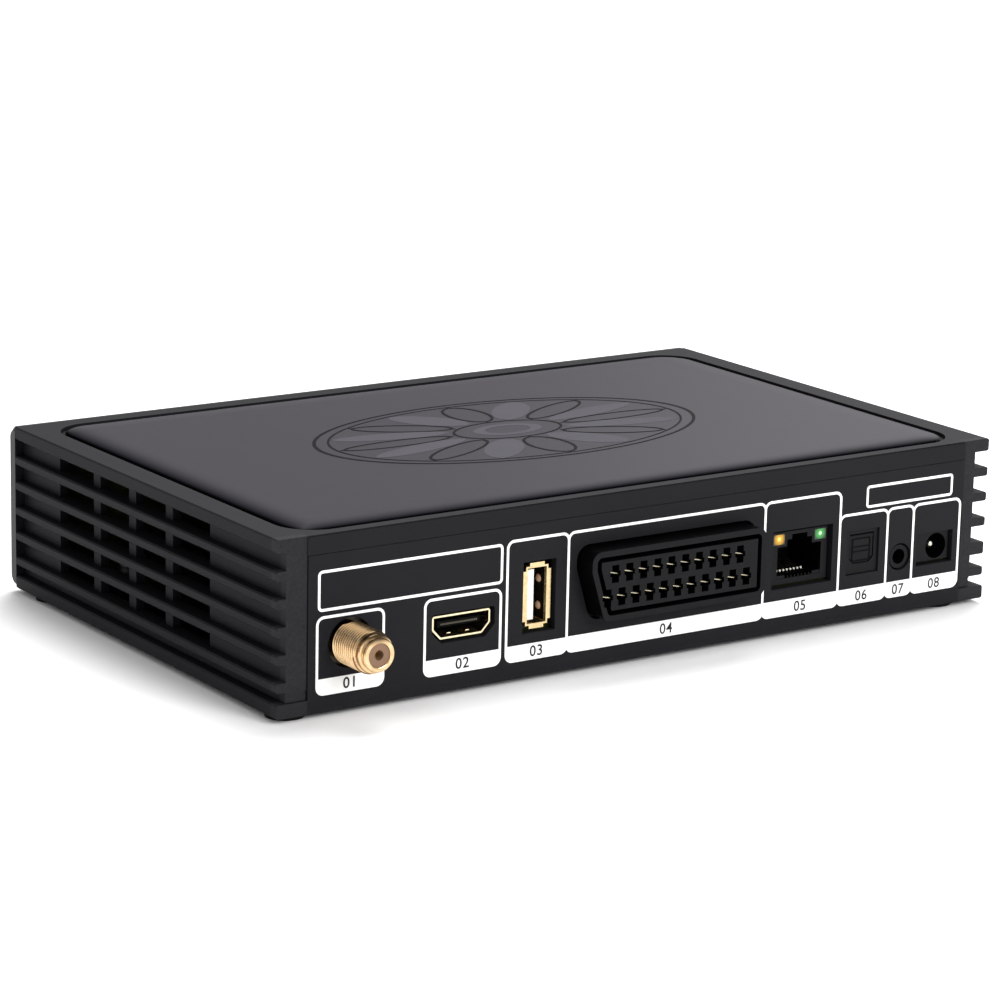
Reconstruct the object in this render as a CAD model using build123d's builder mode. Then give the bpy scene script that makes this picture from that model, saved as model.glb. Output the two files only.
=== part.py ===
from build123d import *
import os

# Satellite television receiver: a vented ABS case with its boards, rear sockets and front keys.
# Millimetres, +Z up, front towards -Y, sockets towards +Y, origin under the middle of the whole outline.
# Places are given in the case's own measures: x from the left edge as seen from behind, d into the case
# from the rear panel's face, z above the underside of the case.

os.makedirs("parts", exist_ok=True)

# row of sockets, each step from one socket's middle to the next
edge_to_f = 17.9
f_to_hdmi = 28.45
hdmi_to_usb = 19.65
usb_to_scart = 34.4
scart_to_lan = 38.45
lan_to_optical = 17.8
optical_to_jack = 11.25
jack_to_power = 10.5
power_to_edge = 15.6

# case
body_d = 122.9  # rear panel to fascia
wall = 2.0
floor_t = 2.0
top_t = 2.6
rib_t = 1.2  # stiffening ribs under the top
rib_drop = 2.0
rib_rear = 6.0  # rear panel's face to the rear rib
rib_front = 15.0  # cover's front edge to the front rib
seam = 0.12  # gap at the joints between mouldings
fit_gap = 0.15  # around inserted pieces
cut = 1.0  # how far a cut runs past the face it starts from
rim_h = 3.1  # bottom rim of the base, which looks like the lowest fin
first_fin = 5.6  # underside of the lowest fin
fin_pitch = 6.03
fin_t = 2.1
fin_count = 5
top_edge_t = 2.95
bead_drop = 0.85  # bead under one fin on the right
groove_left = 2.3  # depth of the grooves between the fins
groove_right = 4.1
fin_edge = 0.35  # bevel along the outer edges of fins and rim
panel_inset = 7.35  # case edge to the edge of the rear panel
strip_step = 0.25  # foot of the strips beside the panel, set back
strip_step_top = 5.3
band_h = 4.2  # rear band of the cover, above the panel
band_drop = 0.35
panel_proud = 0.3  # rear panel stands out from the fin ends
vent_start = 32.1  # rear panel to the first vent window
vent_widths = (16.3, 13.5, 13.4, 16.4)
vent_rib = 3.2
slot_w = 3.0  # slots in the floor
slot_l = 16.0
slot_pitch = 8.0
slot_count = 8
slot_d = 52.0

# raised panel in the top
field_side = 7.4
field_rear = 4.2
field_front = 8.6
field_corner = 8.0
field_groove = 1.2
field_sink = 0.9
field_lip = 0.4
field_slope = 7.0
field_crown = 0.4

# front fascia
fascia_t = 3.4
fascia_top_r = 2.8
fascia_foot_r = 3.2
fascia_side_edge = 1.0
lens_w = 104.0
lens_h = 23.0
lens_t = 1.2
lens_corner = 2.0
tab_w = 12.0
tab_t = 1.4
tab_l = 7.0
tab_side = 60.0

# keys and switches
key_travel = 0.4
key_gap = 0.3  # around each key in the fascia
flange_rim = 1.0
flange_t = 1.0
flange_gap = 0.1
stem_w = 2.8
stem_l = 0.5
plunger_w = 3.2
plunger_gap = 0.08
plunger_out = 0.9
plunger_foot = 1.0
plunger_rest = 0.1  # left below the plunger when the key is down
switch_w = 6.0
switch_h = 3.6
standby_side = 18.0
standby_r = 5.0
channel_side = 20.0
channel_w = 13.0
channel_h = 6.4
channel_corner = 1.4
channel_pitch = 11.0

# front board
board_t = 1.6
front_board_margin = 5.5
front_board_h = 28.0
front_post_w = 5.2
front_post_side = 42.0
front_post_rise = 11.0
front_screw_r = 1.0
front_screw_reach = 4.0
pilot_rest = 0.5  # bore left past a screw's end
small_head_r = 1.9
small_head_h = 1.2
display_side = 7.0  # middle of the display, off the lens's middle
display_w = 50.0
display_h = 17.0
display_gap = 0.4
window_gap = 0.5
eye_side = 37.0
eye_w = 8.0
eye_h = 9.0
eye_t = 5.0
lamp_side = 32.0
lamp_w = 4.0
lamp_h = 1.8

# feet and screws
foot_r = 4.25
foot_h = 1.2
foot_left = 5.4
foot_right = 10.2
foot_rear = 5.8
foot_front = 12.0
boss_w = 8.6
boss_top = 19.0
boss_rear = 24.0
boss_shift = 2.3  # left boss, off the flat socket's middle
upper_boss_w = 6.8
head_r = 2.7
head_h = 2.0
head_seat = 4.0
shank_r = 1.3
pilot_gap = 0.05
screw_reach = 8.0
standoff_w = 6.0
standoff_side = 14.0
standoff_room = 6.0  # board's front edge to the front standoffs
standoff_rear = 25.0
standoff_shift = 1.0  # rear standoff, off the middle between its two sockets
board_screw_reach = 6.0

# main board
board_top = 11.0
board_margin = 2.4
board_gap = 0.9  # rear panel's inside to the board
board_room = 17.0  # front board to the main board

# tuner and F connector
tuner_w = 24.4
tuner_l = 41.0
tuner_sink = 3.4  # underside below the board's top
tuner_h = 15.0
tuner_side = 8.3  # left wall to the connector's axis
tuner_ear = 1.4
tuner_ear_rear = 13.5
tuner_ear_pitch = 14.0
f_lift = 3.4
f_reach = 11.6
f_thread_r = 4.76
f_thread_l = 8.6
f_root = -0.5  # where the thread ends
f_root_r = 4.4
f_tip_r = 3.9
f_bore_r = 3.3
f_hole_r = 5.5
f_insulator_sink = 0.3
f_contact_r = 1.1
f_contact_sink = 1.8

# flat socket with drawn-in lower corners
hdmi_w = 14.9
hdmi_lift = 0.4
hdmi_h = 5.3
hdmi_cant_x = 2.1
hdmi_cant_z = 2.2
hdmi_corner = 0.6
hdmi_sink = 0.9
hdmi_depth = 11.0
hdmi_tongue_w = 11.0
hdmi_tongue_t = 1.3
shell_t = 0.4
tongue_sink = 1.0  # shell's mouth to the tip of the tongue
plug_back = 3.0  # insulator behind a tongue
plug_heel = 1.5  # insulator behind the shell
port_gap = 0.65  # cut-out around a socket

# upright USB socket
usb_lift = 0.2
usb_w = 5.8
usb_h = 13.3
usb_flare = 0.75
usb_flare_l = 0.8
usb_flare_corner = 1.0
usb_sink = 1.0
usb_depth = 17.0
usb_tongue_t = 2.0
usb_tongue_gap = 0.3
usb_tongue_rim = 0.6

# SCART socket
scart_lift = 0.1
scart_w = 47.9
scart_h = 16.1
scart_cant_x = 3.6
scart_cant_z = 11.7
scart_corner = 2.6
scart_reach = 5.0
scart_lip = 1.35
scart_slot = 1.1
scart_slot_deep = 6.0
scart_body_rim = 1.2
scart_back = 13.0
scart_pitch = 3.81
scart_row_side = 0.6  # middle of the rows, off the middle of the socket
scart_top_count = 10
scart_top_row = 10.7
scart_low_row = 5.4
scart_pocket_w = 1.9
scart_pocket_h = 4.0
scart_pocket_deep = 8.0
scart_notch_w = 2.8
scart_notch_h = 1.2
contact_w = 2.5
contact_t = 0.3
contact_tilt = 0.5
contact_sink = 0.5

# Ethernet socket
lan_w = 16.1
lan_h = 12.3
lan_sink = 1.2
lan_depth = 15.8
lan_mouth_w = 12.6
lan_mouth_lift = 1.3
lan_mouth_h = 7.5
lan_step_w = 7.2
lan_step_h = 1.6
lan_latch_w = 4.4
lan_latch_h = 1.1
lan_mouth_deep = 12.0
lan_lamp_w = 3.2
lan_lamp_h = 2.4
lan_lamp_rim = 0.5
lan_lamp_deep = 3.0
lan_wires = 8
lan_pitch = 1.02
lan_wire = 0.45
lan_wire_start = 1.3
lan_wire_lift = 0.5
lan_wire_rise = 1.4

# optical socket
optical_w = 9.3
optical_h = 10.2
optical_sink = 0.5
optical_depth = 13.5
optical_deep = 9.5
door_w = 6.7
door_lift = 2.5
door_h = 6.6
door_t = 0.9
door_cut = 1.2
door_gap = 0.2
door_head_gap = 0.3
door_inset = 0.15
hinge_play = 0.05
hinge_pin_l = 0.8
emitter_r = 1.1
emitter_l = 2.0

# 3.5 mm jack
jack_w = 6.2
jack_h = 5.4
jack_lift = 2.4
jack_ring_r = 2.8
jack_bore_r = 1.8
jack_bore_l = 12.0
jack_depth = 14.0
jack_sink = 0.4
jack_hole_gap = 0.45

# power jack
power_w = 9.6
power_h = 6.9
power_sink = 0.9
power_depth = 13.6
power_hole_side = 1.1
power_hole_lift = 3.4
power_hole_r = 3.05
power_hole_deep = 9.5
power_pin_r = 1.0
power_pin_sink = 2.0

# parts on the main board
chip_w = 27.0
chip_t = 2.0
chip_d = 56.0
sink_w = 36.0
sink_base = 2.0
sink_h = 9.0
sink_fins = 9
sink_fin_t = 1.2
memory_step = 34.0  # processor's middle to the memory chips
memory_rise = 7.0
memory_w = 13.0
memory_l = 10.0
memory_t = 1.2
flash_step = 28.0
flash_w = 12.0
flash_l = 18.4
big_can_r = 5.0
big_can_h = 16.0
small_can_r = 3.2
small_can_h = 9.0
choke_w = 8.0
choke_h = 4.2
crystal_w = 5.0
crystal_l = 3.2
crystal_h = 1.3
crystal_step = 24.0
crystal_rise = 22.7
regulator_w = 6.5
regulator_l = 6.1
regulator_t = 2.3
regulator_tab = 1.6
regulator_tab_t = 0.5

# rows of supply parts, from the rear panel's face, and how far each lies beside a socket's middle
inlet_row = 32.0
filter_can_row = 44.0
left_can_row = 56.0
choke_row = 58.0
outlet_row = 62.0
left_choke_row = 72.0
regulator_row = 80.0
inlet_can_side = 6.4
filter_side = 3.4
choke_pitch = 10.0
left_choke_side = 2.0
regulator_side = 2.0
tuner_supply_side = 12.0

# ribbon between the boards
header_w = 24.0
header_l = 4.5
header_h = 5.2
header_edge = 2.0
ribbon_w = 20.0
ribbon_t = 0.4
ribbon_rise = 2.4

# worked out from the sizes above
f_x = edge_to_f
hdmi_x = f_x + f_to_hdmi
usb_x = hdmi_x + hdmi_to_usb
scart_x = usb_x + usb_to_scart
lan_x = scart_x + scart_to_lan
optical_x = lan_x + lan_to_optical
jack_x = optical_x + optical_to_jack
power_x = jack_x + jack_to_power
body_w = power_x + power_to_edge
top_fin = first_fin + fin_count * fin_pitch
body_h = top_fin + top_edge_t
mid_z = body_h / 2
panel_top = body_h - band_h
panel_right = body_w - panel_inset
inner_left = groove_left + wall
inner_right = body_w - groove_right - wall
ceiling = body_h - top_t
rear_y = (body_d - f_reach) / 2
case_front = body_d - fascia_t

key_stack = flange_gap + flange_t + stem_l + plunger_out + switch_h
front_board_face = case_front - key_stack
front_board_back = front_board_face - board_t
switch_face = front_board_face + switch_h
plunger_tip = switch_face + plunger_out
flange_back = plunger_tip + stem_l
flange_face = flange_back + flange_t
lens_x = body_w / 2
display_x = lens_x + display_side
eye_x = lens_x - eye_side
standby_x = standby_side
channel_x = body_w - channel_side
lamp_x = lamp_side

board_low = board_top - board_t
board_left = inner_left + board_margin
board_right = inner_right - board_margin
board_rear = wall + board_gap
board_front = front_board_back - board_room

tuner_left = f_x - tuner_side
tuner_right = tuner_left + tuner_w
tuner_front = board_rear + tuner_l
tuner_low = board_top - tuner_sink
f_z = board_top + f_lift
hdmi_low = board_top + hdmi_lift
hdmi_high = hdmi_low + hdmi_h
hdmi_back = hdmi_sink + hdmi_depth
usb_low = board_top + usb_lift
usb_high = usb_low + usb_h
usb_mid_z = (usb_low + usb_high) / 2
usb_back = usb_sink + usb_depth
scart_low = board_top + scart_lift
scart_high = scart_low + scart_h
lan_left = lan_x - lan_w / 2
lan_right = lan_x + lan_w / 2
lan_high = board_top + lan_h
lan_mouth_low = board_top + lan_mouth_lift
lan_mouth_high = lan_mouth_low + lan_mouth_h
lan_step_high = lan_mouth_high + lan_step_h
lan_mouth_end = lan_sink + lan_mouth_deep
optical_high = board_top + optical_h
door_low = board_top + door_lift
door_high = door_low + door_h
hinge_r = door_t / 2
hinge_z = door_high - hinge_r
hinge_d = optical_sink + door_inset + hinge_r
jack_z = board_top + jack_lift
power_hole_x = power_x + power_hole_side
power_hole_z = board_top + power_hole_lift
power_high = board_top + power_h

chip_x = scart_x
sink_top = board_top + chip_t + sink_h
case_screw_spots = [(hdmi_x - boss_shift, boss_rear), (optical_x, boss_rear)]
board_screw_spots = [
    ((hdmi_x + usb_x) / 2 + standoff_shift, standoff_rear), (standoff_side, board_front - standoff_room),
    (body_w - standoff_side, board_front - standoff_room)]
foot_spots = [
    (foot_left, foot_rear), (body_w - foot_right, foot_rear),
    (foot_left, body_d - foot_front), (body_w - foot_right, body_d - foot_front)]
front_post_spots = [(lens_x + i * front_post_side, mid_z - i * front_post_rise) for i in (-1, 1)]
big_can_spots = [(power_x - inlet_can_side, inlet_row), (optical_x + filter_side, filter_can_row)]
small_can_spots = [(power_x - inlet_can_side, outlet_row), (hdmi_x, left_can_row)]
choke_spots = [
    (optical_x + filter_side - choke_pitch, choke_row), (hdmi_x - left_choke_side, left_choke_row),
    (optical_x + filter_side, choke_row)]
regulator_spots = [(jack_x + regulator_side, regulator_row), (f_x + tuner_supply_side, outlet_row)]
switch_spots = [
    (standby_x, mid_z), (channel_x, mid_z + channel_pitch / 2), (channel_x, mid_z - channel_pitch / 2)]

fin_lows = [first_fin + i * fin_pitch for i in range(fin_count)]
groove_lows = [rim_h] + [z + fin_t for z in fin_lows]
groove_highs = fin_lows + [top_fin]
scart_mid = scart_x - scart_row_side
scart_pockets = [
    (scart_mid + (i - (scart_top_count - 1) / 2) * scart_pitch, scart_low + scart_top_row)
    for i in range(scart_top_count)]
scart_pockets += [
    (scart_mid + (i - scart_top_count / 2) * scart_pitch, scart_low + scart_low_row)
    for i in range(scart_top_count + 1)]


def spot(x, d, z):
    # a place in the case as a point of the model
    return (body_w / 2 - x, rear_y - d, foot_h + z)


def rear(d):
    # plane along the rear panel, d inside it: its x is across, its y is up
    return Plane(origin=spot(0, d, 0), x_dir=(-1, 0, 0), z_dir=(0, 1, 0))


def level(z):
    # level plane: its x is across, its y runs into the case
    return Plane(origin=spot(0, 0, z), x_dir=(-1, 0, 0), z_dir=(0, 0, 1))


def side(x):
    # upright plane across the row of sockets: its x runs into the case, its y is up
    return Plane(origin=spot(x, 0, 0), x_dir=(0, -1, 0), z_dir=(-1, 0, 0))


def brick(x0, x1, d0, d1, z0, z1, mode=Mode.ADD):
    with Locations(spot((x0 + x1) / 2, (d0 + d1) / 2, (z0 + z1) / 2)):
        Box(x1 - x0, d1 - d0, z1 - z0, mode=mode)


def tower(x, d, z0, z1, width, mode=Mode.ADD):
    # square post standing at (x, d)
    brick(x - width / 2, x + width / 2, d - width / 2, d + width / 2, z0, z1, mode)


def button(x, z, d0, d1, width, height, mode=Mode.ADD):
    # level block with its middle at (x, z)
    brick(x - width / 2, x + width / 2, d0, d1, z - height / 2, z + height / 2, mode)


def post(x, d, z0, z1, radius, mode=Mode.ADD):
    with BuildSketch(level(z0)) as ring:
        with Locations((x, d)):
            Circle(radius)
    extrude(ring.sketch, amount=z1 - z0, mode=mode)


def barrel(x, z, d0, d1, radius, mode=Mode.ADD):
    with BuildSketch(rear(d1)) as ring:
        with Locations((x, z)):
            Circle(radius)
    extrude(ring.sketch, amount=d1 - d0, mode=mode)


def axle(x0, x1, d, z, radius, mode=Mode.ADD):
    with BuildSketch(side(x0)) as ring:
        with Locations((d, z)):
            Circle(radius)
    extrude(ring.sketch, amount=x1 - x0, mode=mode)


def plate(x0, x1, z0, z1, d0, d1, corner, mode=Mode.ADD):
    # upright block with its four long edges rounded
    with BuildSketch(rear(d1)) as outline:
        with Locations(((x0 + x1) / 2, (z0 + z1) / 2)):
            RectangleRounded(x1 - x0, z1 - z0, corner)
    extrude(outline.sketch, amount=d1 - d0, mode=mode)


def field_sketch(z, grow):
    # outline of the raised panel at height z
    with BuildSketch(level(z)) as outline:
        with Locations((body_w / 2, (field_rear + body_d - field_front) / 2)):
            RectangleRounded(
                body_w - 2 * field_side + 2 * grow,
                body_d - field_front - field_rear + 2 * grow, field_corner + grow)
    return outline.sketch


def hdmi_prism(grow, d0, d1, corner=0, mode=Mode.ADD):
    # flat-topped outline with drawn-in lower corners
    left = hdmi_x - hdmi_w / 2
    right = hdmi_x + hdmi_w / 2
    with BuildSketch(rear(d1)) as outline:
        with BuildLine():
            Polyline(
                (left, hdmi_high), (right, hdmi_high), (right, hdmi_low + hdmi_cant_z),
                (right - hdmi_cant_x, hdmi_low), (left + hdmi_cant_x, hdmi_low),
                (left, hdmi_low + hdmi_cant_z), close=True)
        make_face()
        if corner:
            fillet(outline.vertices(), corner)
        if grow:
            offset(amount=grow, mode=Mode.REPLACE)
    extrude(outline.sketch, amount=d1 - d0, mode=mode)


def scart_prism(grow, d0, d1, corner=0, mode=Mode.ADD):
    # rectangle whose left end is canted below
    left = scart_x - scart_w / 2
    right = scart_x + scart_w / 2
    with BuildSketch(rear(d1)) as outline:
        with BuildLine():
            Polyline(
                (left, scart_high), (right, scart_high), (right, scart_low),
                (left + scart_cant_x, scart_low), (left, scart_low + scart_cant_z), close=True)
        make_face()
        if corner:
            fillet(outline.vertices(), corner)
        if grow:
            offset(amount=grow, mode=Mode.REPLACE)
    extrude(outline.sketch, amount=d1 - d0, mode=mode)


def door_prism(grow, top, d0, d1, mode=Mode.ADD):
    # optical door's outline, with both lower corners cut off
    left = optical_x - door_w / 2 - grow
    right = optical_x + door_w / 2 + grow
    low = door_low - grow
    with BuildSketch(rear(d1)) as outline:
        with BuildLine():
            Polyline(
                (left, top), (right, top), (right, low + door_cut), (right - door_cut, low),
                (left + door_cut, low), (left, low + door_cut), close=True)
        make_face()
    extrude(outline.sketch, amount=d1 - d0, mode=mode)


def save(piece, name):
    piece.part.label = name
    export_step(piece.part, f"parts/{name}.step")


# base: bottom rim and floor, with the rear panel standing on them
with BuildPart() as base_tray:
    brick(0, body_w, 0, case_front, 0, rim_h)
    chamfer(base_tray.edges().filter_by(Axis.Y), fin_edge)
    brick(inner_left, inner_right, wall, case_front + cut, floor_t, rim_h + cut, Mode.SUBTRACT)
    brick(panel_inset + seam, panel_right - seam, 0, wall, 0, panel_top - seam)
    # cut-outs for the sockets
    barrel(f_x, f_z, -cut, wall + cut, f_hole_r, Mode.SUBTRACT)
    hdmi_prism(port_gap, -cut, wall + cut, mode=Mode.SUBTRACT)
    button(usb_x, usb_mid_z, -cut, wall + cut, usb_w + 2 * (usb_flare + port_gap),
           usb_h + 2 * (usb_flare + port_gap), Mode.SUBTRACT)
    scart_prism(port_gap, -cut, wall + cut, scart_corner, Mode.SUBTRACT)
    brick(lan_left - port_gap, lan_right + port_gap, -cut, wall + cut,
          board_top - port_gap, lan_high + port_gap, Mode.SUBTRACT)
    brick(optical_x - optical_w / 2 - fit_gap, optical_x + optical_w / 2 + fit_gap, -cut, wall + cut,
          board_top - fit_gap, optical_high + fit_gap, Mode.SUBTRACT)
    barrel(jack_x, jack_z, -cut, wall + cut, jack_ring_r + jack_hole_gap, Mode.SUBTRACT)
    brick(power_x - power_w / 2 - port_gap, power_x + power_w / 2 + port_gap, -cut, wall + cut,
          board_top - port_gap, power_high + fit_gap, Mode.SUBTRACT)
    # standoffs for the main board
    for x, d in board_screw_spots:
        tower(x, d, 0, board_low, standoff_w)
        post(x, d, floor_t, board_low + cut, shank_r + pilot_gap, Mode.SUBTRACT)
    # screw bosses, open below for the screw heads
    for x, d in case_screw_spots:
        tower(x, d, 0, boss_top, boss_w)
        post(x, d, -cut, head_seat, head_r + fit_gap, Mode.SUBTRACT)
        post(x, d, -cut, boss_top + cut, shank_r + fit_gap, Mode.SUBTRACT)
    # slots in the floor
    for i in range(slot_count):
        x = lens_x + (i - (slot_count - 1) / 2) * slot_pitch
        for d in (slot_d, slot_d + slot_l + slot_w):
            brick(x - slot_w / 2, x + slot_w / 2, d - slot_l / 2, d + slot_l / 2, -cut, floor_t + cut,
                  Mode.SUBTRACT)

# cover: top, finned sides and the frame around the rear panel
with BuildPart() as top_cover:
    brick(0, body_w, panel_proud, case_front - seam, rim_h + seam, body_h)
    brick(inner_left, inner_right, panel_proud + wall, case_front, rim_h, ceiling, Mode.SUBTRACT)
    brick(panel_inset, panel_right, -cut, panel_proud + wall + cut, rim_h, panel_top, Mode.SUBTRACT)
    brick(panel_inset, panel_right, 0, wall, panel_top, body_h - band_drop)
    for low, high in zip(groove_lows, groove_highs):
        brick(-cut, groove_left, -cut, case_front + cut, low, high, Mode.SUBTRACT)
        brick(body_w - groove_right, body_w + cut, -cut, case_front + cut, low, high, Mode.SUBTRACT)
    brick(body_w - groove_right - wall / 2, body_w, panel_proud, case_front - seam,
          fin_lows[1] - bead_drop, fin_lows[1])
    for outer in (0, -1):
        chamfer(top_cover.edges().filter_by(Axis.Y).group_by(Axis.X)[outer], fin_edge)
    for x in (0, panel_right):
        brick(x, x + panel_inset, -cut, panel_proud + strip_step, rim_h, strip_step_top, Mode.SUBTRACT)
    # vent windows in every groove but the lowest
    vent_d = vent_start
    for width in vent_widths:
        for low, high in zip(groove_lows[1:], groove_highs[1:]):
            brick(-cut, inner_left + cut, vent_d, vent_d + width, low, high, Mode.SUBTRACT)
            brick(inner_right - cut, body_w - groove_right, vent_d, vent_d + width, low, high, Mode.SUBTRACT)
        vent_d += width + vent_rib
    # raised panel with a groove around it
    extrude(field_sketch(body_h, field_groove), amount=-field_sink, mode=Mode.SUBTRACT)
    extrude(field_sketch(body_h - field_sink, 0), amount=field_sink + field_crown)
    field_top = top_cover.faces().sort_by(Axis.Z)[-1]
    chamfer(field_top.edges(), length=field_slope, length2=field_lip + field_crown, reference=field_top)
    # stiffening ribs and upper screw bosses
    for d in (rib_rear, case_front - seam - rib_front):
        brick(inner_left, inner_right, d, d + rib_t, ceiling - rib_drop, ceiling)
    for x, d in case_screw_spots:
        tower(x, d, boss_top, ceiling, upper_boss_w)
        post(x, d, boss_top - cut, boss_top + screw_reach + pilot_rest, shank_r + pilot_gap, Mode.SUBTRACT)

# front fascia
with BuildPart() as front_fascia:
    with BuildSketch(side(0)) as profile:
        with Locations((case_front + fascia_t / 2, mid_z)):
            Rectangle(fascia_t, body_h)
        front_corners = profile.vertices().group_by(Axis.X)[-1].sort_by(Axis.Y)
        fillet(front_corners[-1], fascia_top_r)
        fillet(profile.vertices().group_by(Axis.Y)[0].sort_by(Axis.X)[-1], fascia_foot_r)
    extrude(amount=body_w)
    chamfer(front_fascia.edges().filter_by(Axis.Z).group_by(Axis.Y)[0], fascia_side_edge)
    # seat of the lens, windows behind it, holes for keys and lamp
    plate(lens_x - lens_w / 2 - fit_gap, lens_x + lens_w / 2 + fit_gap,
          mid_z - lens_h / 2 - fit_gap, mid_z + lens_h / 2 + fit_gap,
          body_d - lens_t, body_d + cut, lens_corner, Mode.SUBTRACT)
    for x, w, h in ((display_x, display_w, display_h), (eye_x, eye_w, eye_h)):
        button(x, mid_z, case_front - cut, body_d, w + 2 * window_gap, h + 2 * window_gap, Mode.SUBTRACT)
    barrel(standby_x, mid_z, case_front - cut, body_d + cut, standby_r + key_gap, Mode.SUBTRACT)
    for x, z in switch_spots[1:]:
        plate(x - channel_w / 2 - key_gap, x + channel_w / 2 + key_gap,
              z - channel_h / 2 - key_gap, z + channel_h / 2 + key_gap,
              case_front - cut, body_d + cut, channel_corner, Mode.SUBTRACT)
    button(lamp_x, mid_z, case_front - cut, body_d + cut, lamp_w + 2 * fit_gap, lamp_h + 2 * fit_gap,
           Mode.SUBTRACT)
    # posts for the front board, and tabs over the floor and under the top
    for x, z in front_post_spots:
        button(x, z, front_board_face, case_front, front_post_w, front_post_w)
        barrel(x, z, front_board_face - cut, front_board_face + front_screw_reach + pilot_rest,
               front_screw_r + pilot_gap, Mode.SUBTRACT)
    for i in (-1, 1):
        for z in (floor_t, ceiling - tab_t):
            brick(lens_x + i * tab_side - tab_w / 2, lens_x + i * tab_side + tab_w / 2,
                  case_front - tab_l, case_front, z, z + tab_t)

with BuildPart() as display_lens:
    plate(lens_x - lens_w / 2, lens_x + lens_w / 2, mid_z - lens_h / 2, mid_z + lens_h / 2,
          body_d - lens_t, body_d, lens_corner)

with BuildPart() as display_module:
    button(display_x, mid_z, front_board_face, body_d - lens_t - display_gap, display_w, display_h)

with BuildPart() as infrared_receiver:
    button(eye_x, mid_z, front_board_face, front_board_face + eye_t, eye_w, eye_h)

with BuildPart() as standby_lamp:
    button(lamp_x, mid_z, front_board_face, body_d, lamp_w, lamp_h)


def key_back(x, z, width, height):
    # flange that stops a key behind the fascia, and the stem that meets its plunger
    button(x, z, flange_back, flange_face, width + 2 * flange_rim, height + 2 * flange_rim)
    button(x, z, plunger_tip, flange_back, stem_w, stem_w)


with BuildPart() as standby_key:
    barrel(standby_x, mid_z, flange_face, body_d, standby_r)
    key_back(standby_x, mid_z, 2 * standby_r, 2 * standby_r)

channel_keys = {}
for name, (x, z) in zip(("channel_up_key", "channel_down_key"), switch_spots[1:]):
    with BuildPart() as key:
        plate(x - channel_w / 2, x + channel_w / 2, z - channel_h / 2, z + channel_h / 2,
              flange_face, body_d, channel_corner)
        key_back(x, z, channel_w, channel_h)
    channel_keys[name] = key

plungers = {}
for name, (x, z) in zip(("standby_plunger", "channel_up_plunger", "channel_down_plunger"), switch_spots):
    with BuildPart() as plunger:
        button(x, z, front_board_face + plunger_foot + key_travel + plunger_rest, plunger_tip,
               plunger_w, plunger_w)
    plungers[name] = plunger

with BuildPart() as tact_switches:
    for x, z in switch_spots:
        button(x, z, front_board_face, switch_face, switch_w, switch_w)
        button(x, z, front_board_face + plunger_foot, switch_face + cut,
               plunger_w + 2 * plunger_gap, plunger_w + 2 * plunger_gap, Mode.SUBTRACT)

with BuildPart() as front_board:
    brick(inner_left + front_board_margin, inner_right - front_board_margin,
          front_board_back, front_board_face, mid_z - front_board_h / 2, mid_z + front_board_h / 2)
    for x, z in front_post_spots:
        barrel(x, z, front_board_back - cut, front_board_face + cut, front_screw_r + fit_gap, Mode.SUBTRACT)

with BuildPart() as front_board_screws:
    for x, z in front_post_spots:
        barrel(x, z, front_board_back - small_head_h, front_board_back, small_head_r)
        barrel(x, z, front_board_back, front_board_face + front_screw_reach, front_screw_r)

# feet and screws
with BuildPart() as rubber_feet:
    for x, d in foot_spots:
        post(x, d, -foot_h, 0, foot_r)

with BuildPart() as case_screws:
    for x, d in case_screw_spots:
        post(x, d, head_seat - head_h, head_seat, head_r)
        post(x, d, head_seat, boss_top + screw_reach, shank_r)

with BuildPart() as board_screws:
    for x, d in board_screw_spots:
        post(x, d, board_top, board_top + small_head_h, head_r)
        post(x, d, board_low - board_screw_reach, board_top, shank_r)

# main board, with a notch for the tuner and room for the bosses
with BuildPart() as main_board:
    brick(board_left, board_right, board_rear, board_front, board_low, board_top)
    brick(tuner_left - fit_gap, tuner_right + fit_gap, board_rear - cut, tuner_front + fit_gap,
          board_low - cut, board_top + cut, Mode.SUBTRACT)
    for x, d in board_screw_spots:
        post(x, d, board_low - cut, board_top + cut, shank_r + fit_gap, Mode.SUBTRACT)
    for x, d in case_screw_spots:
        tower(x, d, board_low - cut, board_top + cut, boss_w + 2 * port_gap, Mode.SUBTRACT)

# tuner with solder ears on the board
with BuildPart() as tuner_can:
    brick(tuner_left, tuner_right, board_rear, tuner_front, tuner_low, tuner_low + tuner_h)
    for d in (board_rear + tuner_ear_rear, board_rear + tuner_ear_rear + tuner_ear_pitch):
        brick(tuner_left - tuner_ear, tuner_right + tuner_ear, d - tuner_ear, d + tuner_ear,
              board_top, board_top + shell_t)

with BuildPart() as f_barrel:
    barrel(f_x, f_z, f_root, board_rear, f_root_r)
    barrel(f_x, f_z, -f_thread_l, f_root, f_thread_r)
    barrel(f_x, f_z, -f_reach, -f_thread_l, f_tip_r)
    barrel(f_x, f_z, -f_reach - cut, board_rear + cut, f_bore_r, Mode.SUBTRACT)

with BuildPart() as f_insulator:
    f_insulator_face = f_insulator_sink - f_reach
    barrel(f_x, f_z, f_insulator_face, board_rear, f_bore_r)
    barrel(f_x, f_z, f_insulator_face - cut, board_rear + cut, f_contact_r, Mode.SUBTRACT)

with BuildPart() as f_contact:
    barrel(f_x, f_z, f_insulator_face + f_contact_sink, board_rear, f_contact_r)

# flat socket
with BuildPart() as hdmi_shell:
    hdmi_prism(0, hdmi_sink, hdmi_back, hdmi_corner)
    hdmi_prism(-shell_t, hdmi_sink - cut, hdmi_back + cut, mode=Mode.SUBTRACT)

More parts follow.
